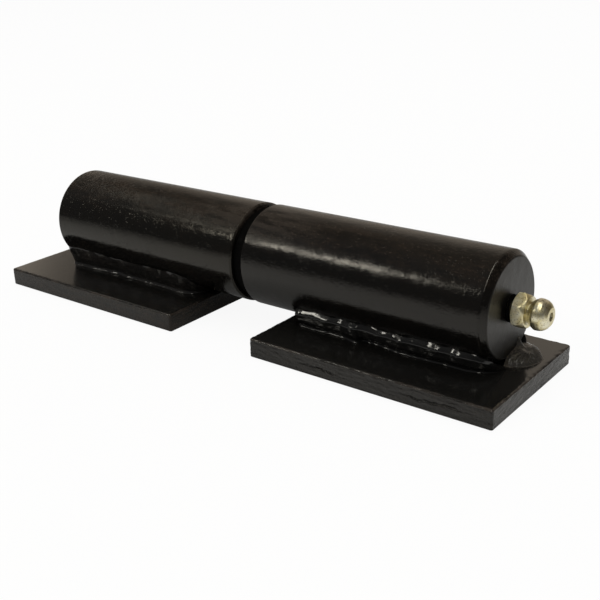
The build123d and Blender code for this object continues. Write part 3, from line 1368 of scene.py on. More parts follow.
@dataclass(frozen=True)
class FlatPlate:
    """A plate sheared from flat bar, with softened edges and a torn lower cut face.

    Attributes:
        node: the CAD node that it stands for.
        corner: radius of its upright corners.
        edge: how far its long edges are rounded.
        tear: how uneven the cut faces are.
        burr: how deep the seam half way down the long cut faces is.
        ragged: how uneven the top edge is.
        seed: shifts the random parts.
        step: distance between points along the edge.
    """

    node: str
    corner: float = 0.6 * MM
    edge: float = 0.45 * MM
    tear: float = 0.10 * MM
    burr: float = 0.60 * MM
    ragged: float = 0.20 * MM
    seed: float = 0.0
    step: float = 0.4 * MM

    def build(self, finish: bpy.types.Material) -> bpy.types.Object:
        """Build the plate.

        Args:
            finish: its material.

        Returns:
            The finished object.
        """
        low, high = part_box(self.node)
        sections = self._sections(high.z - low.z)
        points: list[Vector] = []
        for inset, height in sections:
            loop = self._outline(low, high, inset)
            count = len(loop)
            for at, outward in loop:
                points.append(self._point(at, outward, inset, low.z + height, high.z))
        faces: list[list[int]] = []
        for row in range(len(sections) - 1):
            for k in range(count):
                n = (k + 1) % count
                a, b = row * count, (row + 1) * count
                faces.append([a + k, a + n, b + n, b + k])
        faces.append(list(range(count)))
        faces.append(list(range((len(sections) - 1) * count, len(sections) * count)))
        mesh = bpy.data.meshes.new(self.node)
        mesh.from_pydata(points, [], faces)
        return finished_object(self.node + "_skin", mesh, [finish], crease=60.0)

    def _outline(self, low: Vector, high: Vector, inset: float) -> list[tuple[Vector, Vector]]:
        """Run once round the plate.

        Args:
            low: the plate's lowest corner.
            high: its highest corner.
            inset: how far inside the plate's outline the run is.

        Returns:
            The run's points, each with the direction outwards.
        """
        corner = max(self.corner - inset, 0.1 * self.corner)
        reach = inset + corner
        centres = [
            (high.x - reach, high.y - reach, 0), (low.x + reach, high.y - reach, 90),
            (low.x + reach, low.y + reach, 180), (high.x - reach, low.y + reach, 270),
        ]
        sides = [high.x - low.x, high.y - low.y] * 2
        loop: list[tuple[Vector, Vector]] = []
        arc = 6
        for i, (cx, cy, first) in enumerate(centres):
            for k in range(arc + 1):
                angle = math.radians(first + 90 * k / arc)
                outward = Vector((math.cos(angle), math.sin(angle), 0.0))
                loop.append((Vector((cx, cy, 0.0)) + outward * corner, outward))
            nx, ny, _ = centres[(i + 1) % 4]
            start, outward = loop[-1]
            end = Vector((nx, ny, 0.0)) + outward * corner
            cuts = round(sides[i] / self.step)
            for k in range(1, cuts):
                loop.append((start.lerp(end, k / cuts), outward))
        return loop

    def _sections(self, thick: float) -> list[tuple[float, float]]:
        """Find the rings of points, from the top face over the edge and down to the bottom.

        Args:
            thick: the plate's thickness.

        Returns:
            Each ring's inset and its height over the bottom.
        """
        edge, lower = self.edge, self.edge * 0.7
        steps, rows = 6, 20
        rings = [(inset * MM, thick) for inset in (6.0, 3.0, 1.8, 1.2, 0.85)]
        for k in range(steps + 1):
            angle = math.pi / 2 * k / steps
            rings.append((edge * (1 - math.sin(angle)), thick - edge * (1 - math.cos(angle))))
        for k in range(1, rows):
            rings.append((0.0, thick - edge - (thick - edge - lower) * k / rows))
        for k in range(steps // 2 + 1):
            angle = math.pi / 2 * k / (steps // 2)
            rings.append((lower * (1 - math.cos(angle)), lower * (1 - math.sin(angle))))
        rings.append((1.2 * MM, 0.0))
        return rings

    def _point(self, at: Vector, outward: Vector, inset: float, z: float, top: float) -> Vector:
        """Work the shear's unevenness into one point of the skin.

        Args:
            at: where it would be on an even plate, without its height.
            outward: the direction out of the plate there.
            inset: how far inside the plate's outline it is.
            z: its height on an even plate.
            top: height of the top face.

        Returns:
            Where the point is.
        """
        brow_width, brow_depth_mm = 0.9 * MM, 1.3
        spot = Vector((at.x, at.y, self.seed)) / MM
        depth = (top - z) / MM
        near_edge = max(0.0, 1.0 - inset / brow_width)
        wobble = noise.noise(spot * 0.55) * 0.6 + noise.noise(spot * 1.5) * 0.5
        on_brow = near_edge * max(0.0, 1.0 - depth / brow_depth_mm)
        push = self.ragged * on_brow * max(0.0, 0.35 + wobble)
        push += self.burr * near_edge * outward.y ** 4 * self._crack(spot, depth)
        if inset < ON_OUTLINE:
            grain = noise.noise(Vector((spot.x * 0.4, spot.y * 0.4, z / MM * 1.7 + 9.0)))
            push += self.tear * (0.5 + grain)
        drop = self.ragged * on_brow * max(0.0, 0.15 + noise.noise(spot * 0.8 + Vector((9, 4, 2))))
        place = at - outward * max(0.0, push)
        return Vector((place.x, place.y, z - drop if depth < 1.0 else max(0.0, z)))

    @staticmethod
    def _crack(spot: Vector, depth: float) -> float:
        """Open the seam where the cut broke, in stretches.

        Args:
            spot: place on the plate, in millimetres.
            depth: how far below the top face, in millimetres.

        Returns:
            From 0 away from the seam to 1 in its middle.
        """
        middle_mm, half_width_mm = 2.55, 0.17
        path = middle_mm + 0.55 * noise.noise(spot * 0.10) + 0.35 * noise.noise(spot * 0.45)
        path += 0.22 * noise.noise(spot * 1.3)
        shown = max(0.0, min(1.0, 0.45 + 1.8 * noise.noise(spot * 0.06 + Vector((3, 1, 7)))))
        return shown * math.exp(-((depth - path) / half_width_mm) ** 2)


# ---------------------------------------------------------------- the two leaves and the washer


def settle(piece: bpy.types.Object, body: str, slot: str, *nodes: str) -> bpy.types.Object:
    """Put a finished piece on its body in place of its CAD nodes, and report it.

    Args:
        piece: the piece.
        body: the body that it moves with.
        slot: the record's material slot; not used.
        nodes: the CAD nodes that it stands for.

    Returns:
        The piece.
    """
    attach(piece, body)
    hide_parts(*nodes)
    log.info("%s on %s: %d faces", piece.name, body, len(piece.data.polygons))
    return piece


@dataclass(frozen=True)
class Leaf:
    """What both halves are: a round barrel welded along a flat plate.

    Attributes:
        finishes: every finish on the hinge.
        beads: the tree that lays the beads along the barrel.
        half: which half it is, as its CAD nodes' names start.
        bead: how its beads were laid.
        end_chamfer: chamfer of the barrel's outer end.
        face_chamfer: chamfer of its end by the washer.
        edge_ease: how far the turned corners are rounded.
    """

    finishes: Finishes
    beads: SideBeadTree
    half: str
    bead: BeadShape
    end_chamfer: float = 1.4 * MM
    face_chamfer: float = 0.4 * MM
    edge_ease: float = 0.22 * MM

    @property
    def body(self) -> str:
        """The body that it moves with."""
        return self.half + "_leaf"

    def side_weld(self, side: Side, finish: bpy.types.Material) -> bpy.types.Object:
        """Lay the bead along one side of the barrel.

        Args:
            side: which side.
            finish: its material.

        Returns:
            The bead's piece.
        """
        node = f"{self.half}_weld_{side.name.lower()}"
        low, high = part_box(node)
        barrel_low, barrel_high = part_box(self.half + "_barrel")
        mesh = self.beads.lay(
            node, self.bead, low.x, high.x, HingeLine.of(self.half + "_barrel"),
            (barrel_high.z - barrel_low.z) / 2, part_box(self.half + "_plate")[1].z, side, finish,
        )
        piece = finished_object(node + "_skin", mesh, [finish], crease=WELD_CREASE)
        return settle(piece, self.body, "weld_paint", node)


@dataclass(frozen=True)
class FixedLeaf(Leaf):
    """The half that stays still: closed barrel, its plate and beads, and the pin.

    Attributes:
        pin_seat: how deep the pin goes into the barrel.
        pin_radius: radius of the hole that it is pressed into.
        pin_chamfer: chamfer of the pin's ends.
    """

    half: str = "fixed"
    bead: BeadShape = BeadShape(
        toe=9.9, climb=5.8, bulge=0.25, ripple=0.12, lump=0.36, wrinkle=0.10, waver=1.6, fillet=0.9,
        sweep=1.6, taper=2.2, end_taper=5.0, seed=2.0,
    )
    pin_seat: float = 44.0 * MM
    pin_radius: float = 7.0 * MM
    pin_chamfer: float = 1.0 * MM

    def barrel(self) -> bpy.types.Object:
        """Turn the barrel, chamfered at its closed end and bored for the pin.

        Returns:
            The barrel's piece.
        """
        low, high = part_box("fixed_barrel")
        radius = (high.z - low.z) / 2
        ease = self.edge_ease
        corners = [
            Corner(low.x, 0.0),
            Corner(low.x, radius - self.end_chamfer, ease),
            Corner(low.x + self.end_chamfer, radius, ease),
            Corner(high.x - self.face_chamfer, radius, ease / 2),
            Corner(high.x, radius - self.face_chamfer, ease / 2),
            Corner(high.x, self.pin_radius, 0.0, 1),
            Corner(high.x - self.pin_seat, self.pin_radius, 0.0, 1),
            Corner(high.x - self.pin_seat, 0.0, 0.0, 1),
        ]
        skins = [self.finishes.fixed_barrel, self.finishes.bore]
        piece = turned_piece("fixed_barrel_skin", corners, HingeLine.of("fixed_barrel"), skins)
        return settle(piece, self.body, "black_paint", "fixed_barrel")

    def plate(self) -> bpy.types.Object:
        """Shear the plate under the fixed barrel, the cleaner of the two.

        Returns:
            The plate's piece.
        """
        shape = FlatPlate(
            "fixed_plate", ragged=0.06 * MM, burr=0.0, tear=0.015 * MM, seed=21.0 * MM
        )
        piece = shape.build(self.finishes.fixed_plate)
        return settle(piece, self.body, "black_paint", "fixed_plate")

    def pin(self) -> bpy.types.Object:
        """Grind the pin.

        Returns:
            The pin's piece.
        """
        low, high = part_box("hinge_pin")
        radius = (high.z - low.z) / 2
        corners = [
            Corner(low.x, 0.0),
            Corner(low.x, radius - self.pin_chamfer, self.edge_ease),
            Corner(low.x + self.pin_chamfer, radius, self.edge_ease),
            Corner(high.x - self.pin_chamfer, radius, self.edge_ease),
            Corner(high.x, radius - self.pin_chamfer, self.edge_ease),
            Corner(high.x, 0.0),
        ]
        line = HingeLine.of("hinge_pin")
        piece = turned_piece("hinge_pin_skin", corners, line, [self.finishes.pin], sides=128)
        return settle(piece, self.body, "pin_steel", "hinge_pin")

    def build(self) -> None:
        """Make every piece of the leaf."""
        self.barrel()
        self.plate()
        self.pin()
        for side in Side:
            self.side_weld(side, self.finishes.fixed_weld)


@dataclass(frozen=True)
class ThrustWasher:
    """The washer between the barrels.

    Attributes:
        finishes: every finish on the hinge.
        body: the body that it moves with.
        edge_ease: how far its corners are rounded.
    """

    finishes: Finishes
    body: str = "washer"
    edge_ease: float = 0.2 * MM

    def build(self) -> bpy.types.Object:
        """Turn the washer.

        Returns:
            The washer's piece.
        """
        low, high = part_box("thrust_washer")
        radius = (high.z - low.z) / 2
        corners = [
            Corner(low.x, RUNNING_BORE, self.edge_ease),
            Corner(low.x, radius, self.edge_ease),
            Corner(high.x, radius, self.edge_ease),
            Corner(high.x, RUNNING_BORE, self.edge_ease),
        ]
        line = HingeLine.of("thrust_washer")
        skins = [self.finishes.washer]
        piece = turned_piece("thrust_washer_skin", corners, line, skins, closed=True)
        return settle(piece, self.body, "washer_steel", "thrust_washer")


@dataclass(frozen=True)
class MovingLeaf(Leaf):
    """The half that turns: bored barrel, its plate and beads, and the tapped end.

    Attributes:
        bore_chamfer: chamfer of the bore's mouth.
        bore_depth: depth of the bore for the pin.
        passage_radius: radius of the grease passage.
        hole_radius: radius of the tapped hole.
        hole_depth: depth of the tapped hole.
        drill_point_slope: how deep a drill's point is for its radius.
        end_bead: how the bead at the foot of the end was laid.
    """

    half: str = "moving"
    bead: BeadShape = BeadShape(toe=9.9, climb=4.9, end_taper=8.0, lap=1.0, lap_at=20.0, seed=5.0)
    bore_chamfer: float = 0.8 * MM
    bore_depth: float = 51.0 * MM
    passage_radius: float = 1.5 * MM
    hole_radius: float = 3.1 * MM
    hole_depth: float = 6.5 * MM
    drill_point_slope: float = 0.6
    end_bead: EndBeadShape = EndBeadShape(middle_y=6.8)

    def barrel(self) -> bpy.types.Object:
        """Turn the barrel, with its bore, grease passage and tapped hole.

        Returns:
            The barrel's piece.
        """
        low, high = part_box("moving_barrel")
        radius = (high.z - low.z) / 2
        ease = self.edge_ease
        hole_end = high.x - self.hole_depth
        hole_point = hole_end - (self.hole_radius - self.passage_radius) * self.drill_point_slope
        bore_end = low.x + self.bore_depth
        bore_point = bore_end + (RUNNING_BORE - self.passage_radius) * self.drill_point_slope
        corners = [
            Corner(low.x, RUNNING_BORE + self.bore_chamfer, ease / 2),
            Corner(low.x, radius - self.face_chamfer, ease / 2),
            Corner(low.x + self.face_chamfer, radius, ease / 2),
            Corner(high.x - self.end_chamfer, radius, 2 * ease),
            Corner(high.x, radius - self.end_chamfer, ease),
            Corner(high.x, self.hole_radius, 0.0, 1),
            Corner(hole_end, self.hole_radius, 0.0, 1),
            Corner(hole_point, self.passage_radius, 0.0, 1),
            Corner(bore_point, self.passage_radius, 0.0, 1),
            Corner(bore_end, RUNNING_BORE, 0.0, 1),
            Corner(low.x + self.bore_chamfer, RUNNING_BORE, 0.0, 1),
        ]
        skins = [self.finishes.moving_barrel, self.finishes.bore]
        line = HingeLine.of("moving_barrel")
        piece = turned_piece("moving_barrel_skin", corners, line, skins, closed=True)
        return settle(piece, self.body, "black_paint", "moving_barrel")

    def plate(self) -> bpy.types.Object:
        """The plate under the moving barrel, the rougher sheared of the two."""
        piece = FlatPlate("moving_plate", seed=4.0 * MM).build(self.finishes.moving_plate)
        return settle(piece, self.body, "black_paint", "moving_plate")

    def end_weld(self, tree: EndBeadTree) -> bpy.types.Object:
        """Lay the bead across the foot of the end face.

        Args:
            tree: the tree that lays it.

        Returns:
            The bead's piece.
        """
        node = "moving_weld_end"
        face_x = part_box("moving_barrel")[1].x
        plate_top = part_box("moving_plate")[1].z
        skin = self.finishes.end_weld
        mesh = tree.lay(node, self.end_bead, face_x, plate_top, skin)
        piece = finished_object(node + "_skin", mesh, [skin], crease=WELD_CREASE)
        return settle(piece, self.body, "weld_paint", node)

    def build(self) -> None:
        """Make every piece of the leaf but the nipple."""
        self.barrel()
        self.plate()
        for side in Side:
            self.side_weld(side, self.finishes.moving_weld)
        self.end_weld(EndBeadTree())


# ---------------------------------------------------------------- grease nipple


class HelixTree:
    """Geometry Nodes for a wire or thread wound round the hinge line."""

    LENGTHS = ("Start", "Height", "Mean Radius", "Wire Radius", "Line Y", "Line Z")
    STEPS_PER_TURN = 40

    def __init__(self) -> None:
        """Build the tree."""
        inputs = {name: ("NodeSocketFloat", 0.0) for name in self.LENGTHS}
        inputs |= {"Turns": ("NodeSocketFloat", 5.0), "Steps": ("NodeSocketInt", 40)}
        inputs |= {"Corners": ("NodeSocketInt", 10), "Finish": ("NodeSocketMaterial", None)}
        self.sheet = GrowthSheet("helix", inputs)
        self.tree = self._build()

    def _build(self) -> bpy.types.NodeTree:
        """Wind a spiral, give it a round section and turn it onto the hinge line.

        Returns:
            The finished tree.
        """
        s = self.sheet
        spiral = s.add("GeometryNodeCurveSpiral", {}, {
            "Resolution": s.given("Steps"), "Rotations": s.given("Turns"),
            "Start Radius": s.given("Mean Radius"), "End Radius": s.given("Mean Radius"),
            "Height": s.given("Height"),
        })
        section = s.add("GeometryNodeCurvePrimitiveCircle", {"mode": "RADIUS"}, {
            "Resolution": s.given("Corners"), "Radius": s.given("Wire Radius"),
        })
        wire = s.add("GeometryNodeCurveToMesh", {}, {
            "Curve": spiral, "Profile Curve": section, "Fill Caps": True,
        })
        parts = s.position()
        place = s.vector(
            s.given("Start") + parts["Z"],
            s.given("Line Y") + parts["X"],
            s.given("Line Z") + parts["Y"],
        )
        return s.close(s.moved(wire, place))

    def wind(
        self, name: str, start: float, height: float, mean_radius: float, wire_radius: float,
        turns: float, line: HingeLine, finish: bpy.types.Material, corners: int = 10,
    ) -> bpy.types.Mesh:
        """Wind one helix.

        Args:
            name: the mesh's name.
            start: where it begins along X.
            height: its length along X.
            mean_radius: from the hinge line to the wire's middle.
            wire_radius: half the wire's thickness.
            turns: how many turns it makes.
            line: the hinge line.
            finish: its material.
            corners: corners of the wire's section.

        Returns:
            The helix as a plain mesh.
        """
        values: dict[str, Any] = {
            "Start": start, "Height": height, "Mean Radius": mean_radius,
            "Wire Radius": wire_radius, "Line Y": line.y, "Line Z": line.z, "Turns": turns,
            "Steps": self.STEPS_PER_TURN, "Corners": corners, "Finish": finish,
        }
        return grown(name, self.tree, values)


@dataclass(frozen=True)
class GreaseNipple:
    """The nipple in the end of the moving barrel, with its check ball and spring.

    Attributes:
        finishes: every finish on the hinge.
        helix: the tree that winds the thread and the spring.
        body: the body that the nipple moves with.
        ball_body: the body that the ball moves with.
        shank: length of the thread in the barrel.
        shank_chamfer: chamfer of its inner end.
        thread_shown: length of the thread that shows under the hexagon.
        thread_radius: radius over the thread.
        thread_pitch: pitch of the thread.
        thread_wound: how much of the thread in the barrel is wound.
        core_radius: radius at the thread's root.
        hexagon: size across the flats.
        hex_height: height of the hexagon.
        hex_bevel: bevel of its underside.
        brow_length: length of the sloping shoulder over the hexagon.
        brow_radius: radius at the shoulder's end.
        neck_radius: radius of the neck.
        neck_length: length of the neck.
        head_radius: largest radius of the head.
        head_step: how far the head's underside stands out from the neck.
        tip_radius: radius of the flat tip.
        inlet_radius: radius of the inlet.
        inlet_depth: depth of the inlet.
        inlet_slope: length of the slope behind it.
        chamber_radius: radius of the chamber for the ball and spring.
        crimp: thickness of the crimped end that holds the spring.
        fine_ease: how far the finest corners are rounded.
        spring_wire: radius of the spring's wire.
        spring_turns: how many turns the spring has.
        ball_travel: how far the ball goes in.
    """

    finishes: Finishes
    helix: HelixTree
    body: str = "moving_leaf"
    ball_body: str = "check_ball"
    shank: float = 5.0 * MM
    shank_chamfer: float = 0.4 * MM
    thread_shown: float = 1.3 * MM
    thread_radius: float = 3.1 * MM
    thread_pitch: float = 0.75 * MM
    thread_wound: float = 3.0 * MM
    core_radius: float = 2.72 * MM
    hexagon: float = 7.1 * MM
    hex_height: float = 1.65 * MM
    hex_bevel: float = 0.55 * MM
    brow_length: float = 1.3 * MM
    brow_radius: float = 3.42 * MM
    neck_radius: float = 2.3 * MM
    neck_length: float = 0.5 * MM
    head_radius: float = 3.48 * MM
    head_step: float = 0.55 * MM
    tip_radius: float = 2.0 * MM
    inlet_radius: float = 0.95 * MM
    inlet_depth: float = 0.8 * MM
    inlet_slope: float = 0.5 * MM
    chamber_radius: float = 1.45 * MM
    crimp: float = 0.5 * MM
    fine_ease: float = 0.05 * MM
    spring_wire: float = 0.16 * MM
    spring_turns: float = 5.0
    ball_travel: float = 0.8 * MM

    def stem(self) -> bpy.types.Object:
        """Turn the shank, hexagon, neck and coupler head in one piece and mill its flats.

        Returns:
            The stem's piece.
        """
        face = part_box("moving_barrel")[1].x
        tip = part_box("grease_nipple")[1].x
        line = HingeLine.of("moving_barrel")
        hex_x = face + self.thread_shown
        brow_x = hex_x + self.hex_height
        neck_x = brow_x + self.brow_length
        head_x = neck_x + self.neck_length
        head = tip - head_x
        corner_radius = self.hexagon / 2 / math.cos(math.pi / 6)
        bevel, chamfer, fine = self.hex_bevel, self.shank_chamfer, self.fine_ease
        band = head_x + 0.48 * head
        back = face - self.shank
        inlet_end = tip - self.inlet_depth
        crimp_end = back + self.crimp
        corners = [
            Corner(back, self.inlet_radius, 0.0, 1),
            Corner(back, self.core_radius - chamfer, 2 * fine, 1),
            Corner(back + chamfer, self.core_radius, 2 * fine, 1),
            Corner(hex_x, self.core_radius, fine),
            Corner(hex_x, corner_radius - bevel, fine),
            Corner(hex_x + 0.5 * bevel, corner_radius, fine),
            Corner(brow_x, corner_radius, 3 * fine),
            Corner(neck_x, self.brow_radius, 2 * fine),
            Corner(neck_x, self.neck_radius, 2 * fine),
            Corner(head_x, self.neck_radius, 2 * fine),
            Corner(head_x + 0.06 * head, self.neck_radius + self.head_step, 2 * fine),
            Corner(head_x + 0.30 * head, self.head_radius, 3 * fine),
            Corner(band, self.head_radius, 3 * fine),
            Corner(band + 0.34 * (tip - band), self.head_radius * 0.955, 4 * fine),
            Corner(band + 0.68 * (tip - band), self.head_radius * 0.83, 4 * fine),
            Corner(tip, self.tip_radius, 2 * fine),
            Corner(tip, self.inlet_radius, 2 * fine),
            Corner(inlet_end, self.inlet_radius, fine),
            Corner(inlet_end - self.inlet_slope, self.chamber_radius, fine),
            Corner(crimp_end, self.chamber_radius),
            Corner(crimp_end, self.inlet_radius),
        ]
        flat, sixth, slack = self.hexagon / 2, math.pi / 3, 0.001 * MM

        def milled(x: float, turn: float, radius: float) -> float:
            """Cut the hexagon's flats, with a corner upwards.

            Args:
                x: place along the hinge line.
                turn: angle round it.
                radius: radius before the cut.

            Returns:
                Radius after the cut.
            """
            if not hex_x - slack < x < neck_x + slack:
                return radius
            from_flat = (turn - sixth / 2) % sixth
            from_flat = min(from_flat, sixth - from_flat)
            return min(radius, flat / math.cos(from_flat))

        # The shank under the hexagon and the inside take the near-black scale, as painted shade.
        piece = turned_piece(
            "grease_nipple_stem", corners, line, [self.finishes.zinc, self.finishes.washer],
            sides=144, run=0.12 * MM, closed=True, shape=milled,
        )
        return settle(piece, self.body, "zinc_plate", "grease_nipple")

    def thread(self) -> bpy.types.Object:
        """Wind the thread's ridge, of which a turn and a half shows under the hexagon.

        Returns:
            The ridge's piece.
        """
        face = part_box("moving_barrel")[1].x
        height = self.thread_wound + self.thread_shown
        ridge = self.thread_radius - self.core_radius
        # The thread takes the near-black scale too, as painted shade under the hexagon.
        mesh = self.helix.wind(
            "nipple_thread", face - self.thread_wound, height - 2 * self.fine_ease,
            self.core_radius, ridge, height / self.thread_pitch, HingeLine.of("moving_barrel"),
            self.finishes.washer, corners=6,
        )
        piece = finished_object("nipple_thread", mesh, [self.finishes.washer], crease=50.0)
        return settle(piece, self.body, "zinc_plate", "grease_nipple")

    def ball(self) -> bpy.types.Object:
        """Make the check ball behind the inlet.

        Returns:
            The ball's piece.
        """
        low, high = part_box("nipple_check_ball")
        work = bmesh.new()
        middle = Matrix.Translation((low + high) / 2)
        bmesh.ops.create_icosphere(work, subdivisions=4, radius=(high.x - low.x) / 2, matrix=middle)
        mesh = bpy.data.meshes.new("check_ball")
        work.to_mesh(mesh)
        work.free()
        piece = finished_object("check_ball_sphere", mesh, [self.finishes.ball])
        return settle(piece, self.ball_body, "ball_steel", "nipple_check_ball")

    def spring(self) -> bpy.types.Object:
        """Wind the coil spring.

        Returns:
            The spring's piece.
        """
        low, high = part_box("nipple_spring")
        wire = self.spring_wire
        outer = (high.z - low.z) / 2
        mesh = self.helix.wind(
            "nipple_spring", low.x + wire, high.x - low.x - 2 * wire, outer - wire, wire,
            self.spring_turns, HingeLine.of("moving_barrel"), self.finishes.spring,
        )
        piece = finished_object("nipple_spring_wire", mesh, [self.finishes.spring], crease=60.0)
        settle(piece, self.body, "spring_steel", "nipple_spring")
        length = high.x - low.x
        keep = (length - self.ball_travel) / length
        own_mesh(piece)
        return piece

    def build(self) -> None:
        """Make the nipple's pieces."""
        self.stem()
        self.thread()
        self.ball()
        self.spring()


# ---------------------------------------------------------------- studio


@dataclass(frozen=True)
class Softbox:
    """A flat lamp that faces the hinge.

    Attributes:
        name: the lamp's name.
        bearing: degrees from +Y towards +X.
        rise: degrees above the horizon.
        distance: from the hinge.
        width: its level side.
        height: its other side.
        glow: brightness of its face, where 1 is white.
        in_gloss: whether gloss shows it.
        tint: colour of its light.
    """

    name: str
    bearing: float
    rise: float
    distance: float
    width: float
    height: float
    glow: float
    in_gloss: bool = True
    tint: Colour = (1.0, 0.97, 0.86)

    def hang(self, target: Vector) -> bpy.types.Object:
        """Hang the lamp.

        Args:
            target: the point that it faces.

        Returns:
            The lamp's object.
        """
        bearing, rise = math.radians(self.bearing), math.radians(self.rise)
        out = Vector((
            math.sin(bearing) * math.cos(rise), math.cos(bearing) * math.cos(rise), math.sin(rise)
        ))
        lamp = bpy.data.lights.new(self.name, "AREA")
        lamp.shape = "RECTANGLE"
        lamp.size, lamp.size_y = self.width, self.height
        lamp.energy = math.pi * self.width * self.height * self.glow
        lamp.color = self.tint if self.in_gloss else (1.0, 1.0, 1.0)
        hung = bpy.data.objects.new(self.name, lamp)
        hung.location = target + out * self.distance
        hung.rotation_euler = (-out).to_track_quat("-Z", "Y").to_euler()
        hung.visible_camera = False
        hung.visible_glossy = self.in_gloss
        bpy.context.scene.collection.objects.link(hung)
        return hung


@dataclass(frozen=True)
class Studio:
    """A white floor under a dim, warm room with soft lamps.

    Attributes:
        floor_side: length of the floor.
        floor_white: the floor's paint.
        eye_share: how much of the plain white backdrop the eye sees through the lit floor.
        gloss_share: the same for a ray that gloss sends down.
        falloff: how much dimmer the far floor is in gloss.
        far_mm: how far off the floor starts to dim and stops.
        gap_shade: how much dimmer the floor under the gap is in gloss.
        gap_mm: how far off that shade starts to fade and ends.
        shaded_white: how much of the floor's white a full shade leaves.
        fill: the even light of the room.
        front_wall: light of the wall in front, low down, and what it gains high up.
        bright_wall: light of the wall behind, low down, what it loses high up and on its right.
        dusky_wall: light of the wall far to the left, low down, and what it loses high up.
        window: light of the window in that wall.
        right_wall: light of the wall on the right.
        warm: tint of the room behind the hinge.
        lamps: the lamps.
    """

    floor_side: float = 8.0
    floor_white: float = 0.94
    eye_share: float = 0.92
    gloss_share: float = 0.06
    falloff: float = 0.8
    far_mm: Span = (60.0, 300.0)
    gap_shade: float = 0.8
    gap_mm: Span = (8.0, 40.0)
    shaded_white: float = 0.35
    fill: float = 0.48
    front_wall: Span = (0.13, 0.08)
    bright_wall: tuple[float, float, float] = (0.58, 0.34, 0.16)
    dusky_wall: Span = (0.22, 0.13)
    window: float = 0.75
    right_wall: float = 0.08
    warm: Colour = (1.0, 0.87, 0.72)
    lamps: tuple[Softbox, ...] = (
        Softbox("overhead", 38.0, 78.0, 2.2, 2.0, 2.0, 0.75, False),
        Softbox("streak_core", -139.0, 33.4, 1.6, 0.27, 0.15, 15.0),
        Softbox("streak_tail", -127.0, 38.5, 1.6, 0.42, 0.09, 1.8),
        Softbox("side_strip", -97.0, 44.0, 1.6, 1.05, 0.04, 1.5),
        Softbox("long_strip", 151.0, 75.0, 1.6, 0.12, 2.0, 11.0),
    )

    def floor(self) -> bpy.types.Object:
        """Lay the floor: lit as white paint, and part plain white to the eye.

        Returns:
            The floor's object.
        """
        half = self.floor_side / 2
        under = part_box("fixed_plate")[0].z - 0.02 * MM
        mesh = bpy.data.meshes.new("studio_floor")
        corners = ((-half, -half), (half, -half), (half, half), (-half, half))
        mesh.from_pydata([(x, y, under) for x, y in corners], [], [(0, 1, 2, 3)])
        mesh.materials.append(self._floor_white())
        floor = bpy.data.objects.new("studio_floor", mesh)
        bpy.context.scene.collection.objects.link(floor)
        return floor

    def _floor_white(self) -> bpy.types.Material:
        """Mix the floor's white, which is dimmer in gloss far off and under the gap.

        Returns:
            The floor's material.
        """
        sheet = SurfaceSheet("studio_floor_white")
        path = sheet.add("ShaderNodeLightPath")
        away = sheet.add("ShaderNodeVectorMath", {"operation": "LENGTH"}, {0: sheet.place_mm()}, "Value")
        far = sheet.smooth(*self.far_mm, away) * self.falloff
        under_gap = (1.0 - sheet.smooth(*self.gap_mm, away)) * self.gap_shade
        bounced = self._bounced(sheet, path)
        shade = sheet.math("MAXIMUM", far, under_gap) * bounced
        white = (self.floor_white,) * 3
        shaded = (self.floor_white * self.shaded_white,) * 3
        matt = sheet.add("ShaderNodeBsdfDiffuse", {}, {"Color": sheet.mix(shade, white, shaded)})
        plain = sheet.add("ShaderNodeEmission", {}, {"Color": (1.0, 1.0, 1.0), "Strength": 1.0})
        shares = path["Is Camera Ray"] * self.eye_share + bounced * self.gloss_share
        both = sheet.add("ShaderNodeMixShader", {}, {0: shares, 1: matt, 2: plain})
        sheet.add("ShaderNodeOutputMaterial", {}, {"Surface": both})
        return sheet.material

    @staticmethod
    def _bounced(sheet: NodeSheet, path: Wire) -> Wire:
        """Give 1 for a ray that gloss, metal or glass has sent on."""
        return sheet.math("MAXIMUM", path["Is Glossy Ray"], path["Is Transmission Ray"])

    def room(self) -> None:
        """Make the world: white to the eye, an even fill, and a dim room for gloss to show."""
        world = bpy.data.worlds.new("studio_room")
        bpy.context.scene.world = world
        world.use_nodes = True
        sheet = NodeSheet(world.node_tree)
        path = sheet.add("ShaderNodeLightPath")
        way = sheet.add("ShaderNodeTexCoord", output="Generated")
        parts = sheet.add("ShaderNodeSeparateXYZ", {}, {0: way})
        up, back, right = parts["Z"], parts["Y"], parts["X"]
        front_low, front_gain = self.front_wall
        bright_low, bright_loss, bright_right = self.bright_wall
        dusky_low, dusky_loss = self.dusky_wall
        behind = sheet.smooth(-0.35, 0.25, back)
        front = front_low + front_gain * sheet.smooth(0.45, 0.75, up)
        far_left = 1.0 - sheet.smooth(-0.80, -0.42, right)
        right_dim = sheet.smooth(-0.58, -0.42, right) * (1.0 - sheet.smooth(0.34, 0.44, up))
        bright = bright_low - bright_loss * sheet.smooth(0.34, 0.72, up) - bright_right * right_dim
        pane = (1.0 - sheet.smooth(-0.782, -0.758, right)) * (1.0 - sheet.smooth(0.45, 0.65, up))
        dusky = dusky_low - dusky_loss * sheet.smooth(0.24, 0.50, up)
        rear = sheet.blend(pane, sheet.blend(far_left, bright, dusky), self.window)
        sides = sheet.blend(behind, front, rear)
        dim = sheet.blend(sheet.smooth(0.20, 0.38, right), sides, self.right_wall)
        bounced = self._bounced(sheet, path)
        level = sheet.blend(path["Is Camera Ray"], sheet.blend(bounced, self.fill, dim), 1.0)
        tint = sheet.mix(behind * bounced, (1.0, 1.0, 1.0), self.warm)
        light = sheet.add("ShaderNodeBackground", {}, {"Color": tint, "Strength": level})
        sheet.add("ShaderNodeOutputWorld", {}, {"Surface": light})

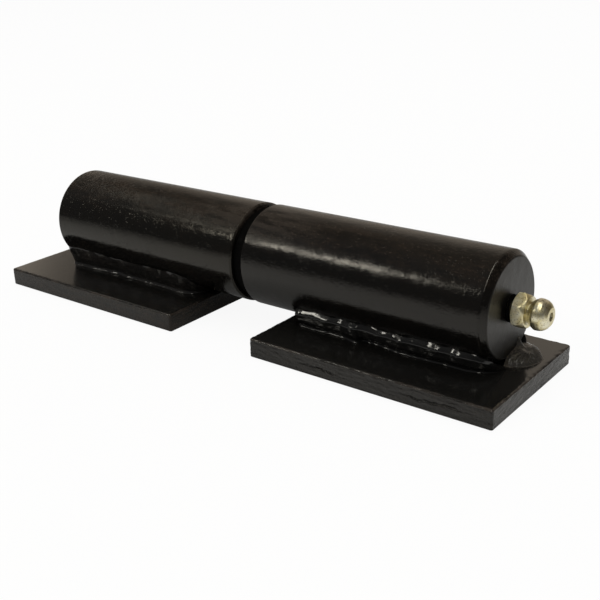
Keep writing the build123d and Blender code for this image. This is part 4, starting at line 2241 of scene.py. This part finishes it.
    def build(self) -> None:
        """Make the floor and the room, and hang the lamps."""
        self.floor()
        self.room()
        low, high = CAD_BOX
        for lamp in self.lamps:
            lamp.hang((low + high) / 2)
        log.info("studio with %d lamps", len(self.lamps))


@dataclass(frozen=True)
class Viewpoint:
    """The camera.

    Attributes:
        stand: where it stands.
        bearing: degrees that it stands round from the front, towards +X.
        drop: degrees that it looks down.
        lean: degrees that it leans to one side.
        lens_mm: focal length.
        sensor_mm: width of the sensor.
    """

    stand: tuple[float, float, float] = (0.15091, -0.17515, 0.09692)
    bearing: float = 38.21
    drop: float = 21.69
    lean: float = -1.86
    lens_mm: float = 58.01
    sensor_mm: float = 36.0

    def place(self) -> bpy.types.Object:
        """Put the camera in the scene.

        Returns:
            The camera's object.
        """
        bearing, drop, lean = (math.radians(a) for a in (self.bearing, self.drop, self.lean))
        ahead = Vector((
            -math.sin(bearing) * math.cos(drop), math.cos(bearing) * math.cos(drop), -math.sin(drop)
        ))
        level = Vector((math.cos(bearing), math.sin(bearing), 0.0))
        upright = level.cross(ahead)
        right = level * math.cos(lean) + upright * math.sin(lean)
        top = upright * math.cos(lean) - level * math.sin(lean)
        turn = Matrix((right, top, -ahead)).transposed()
        data = bpy.data.cameras.new("eye")
        data.lens, data.sensor_width, data.sensor_fit = self.lens_mm, self.sensor_mm, "HORIZONTAL"
        data.clip_start, data.clip_end = 0.01, 50.0
        camera = bpy.data.objects.new("eye", data)
        camera.matrix_world = Matrix.Translation(self.stand) @ turn.to_4x4()
        bpy.context.scene.collection.objects.link(camera)
        bpy.context.scene.camera = camera
        return camera


def plain(box: Iterable[Vector]) -> list[list[float]]:
    """Give a box as plain lists of numbers."""
    return [[float(v) for v in corner] for corner in box]


def main() -> None:
    """Build the hinge's pieces, dress them and set up the studio."""
    logging.basicConfig(level=logging.INFO, format="%(name)s: %(message)s")
    view = bpy.context.scene.view_settings
    view.view_transform = "Standard"
    Viewpoint().place()
    finishes = Finishes.make()
    beads = SideBeadTree()
    FixedLeaf(finishes, beads).build()
    ThrustWasher(finishes).build()
    MovingLeaf(finishes, beads).build()
    GreaseNipple(finishes, HelixTree()).build()
    Studio().build()


if __name__ == "__main__":
    main()
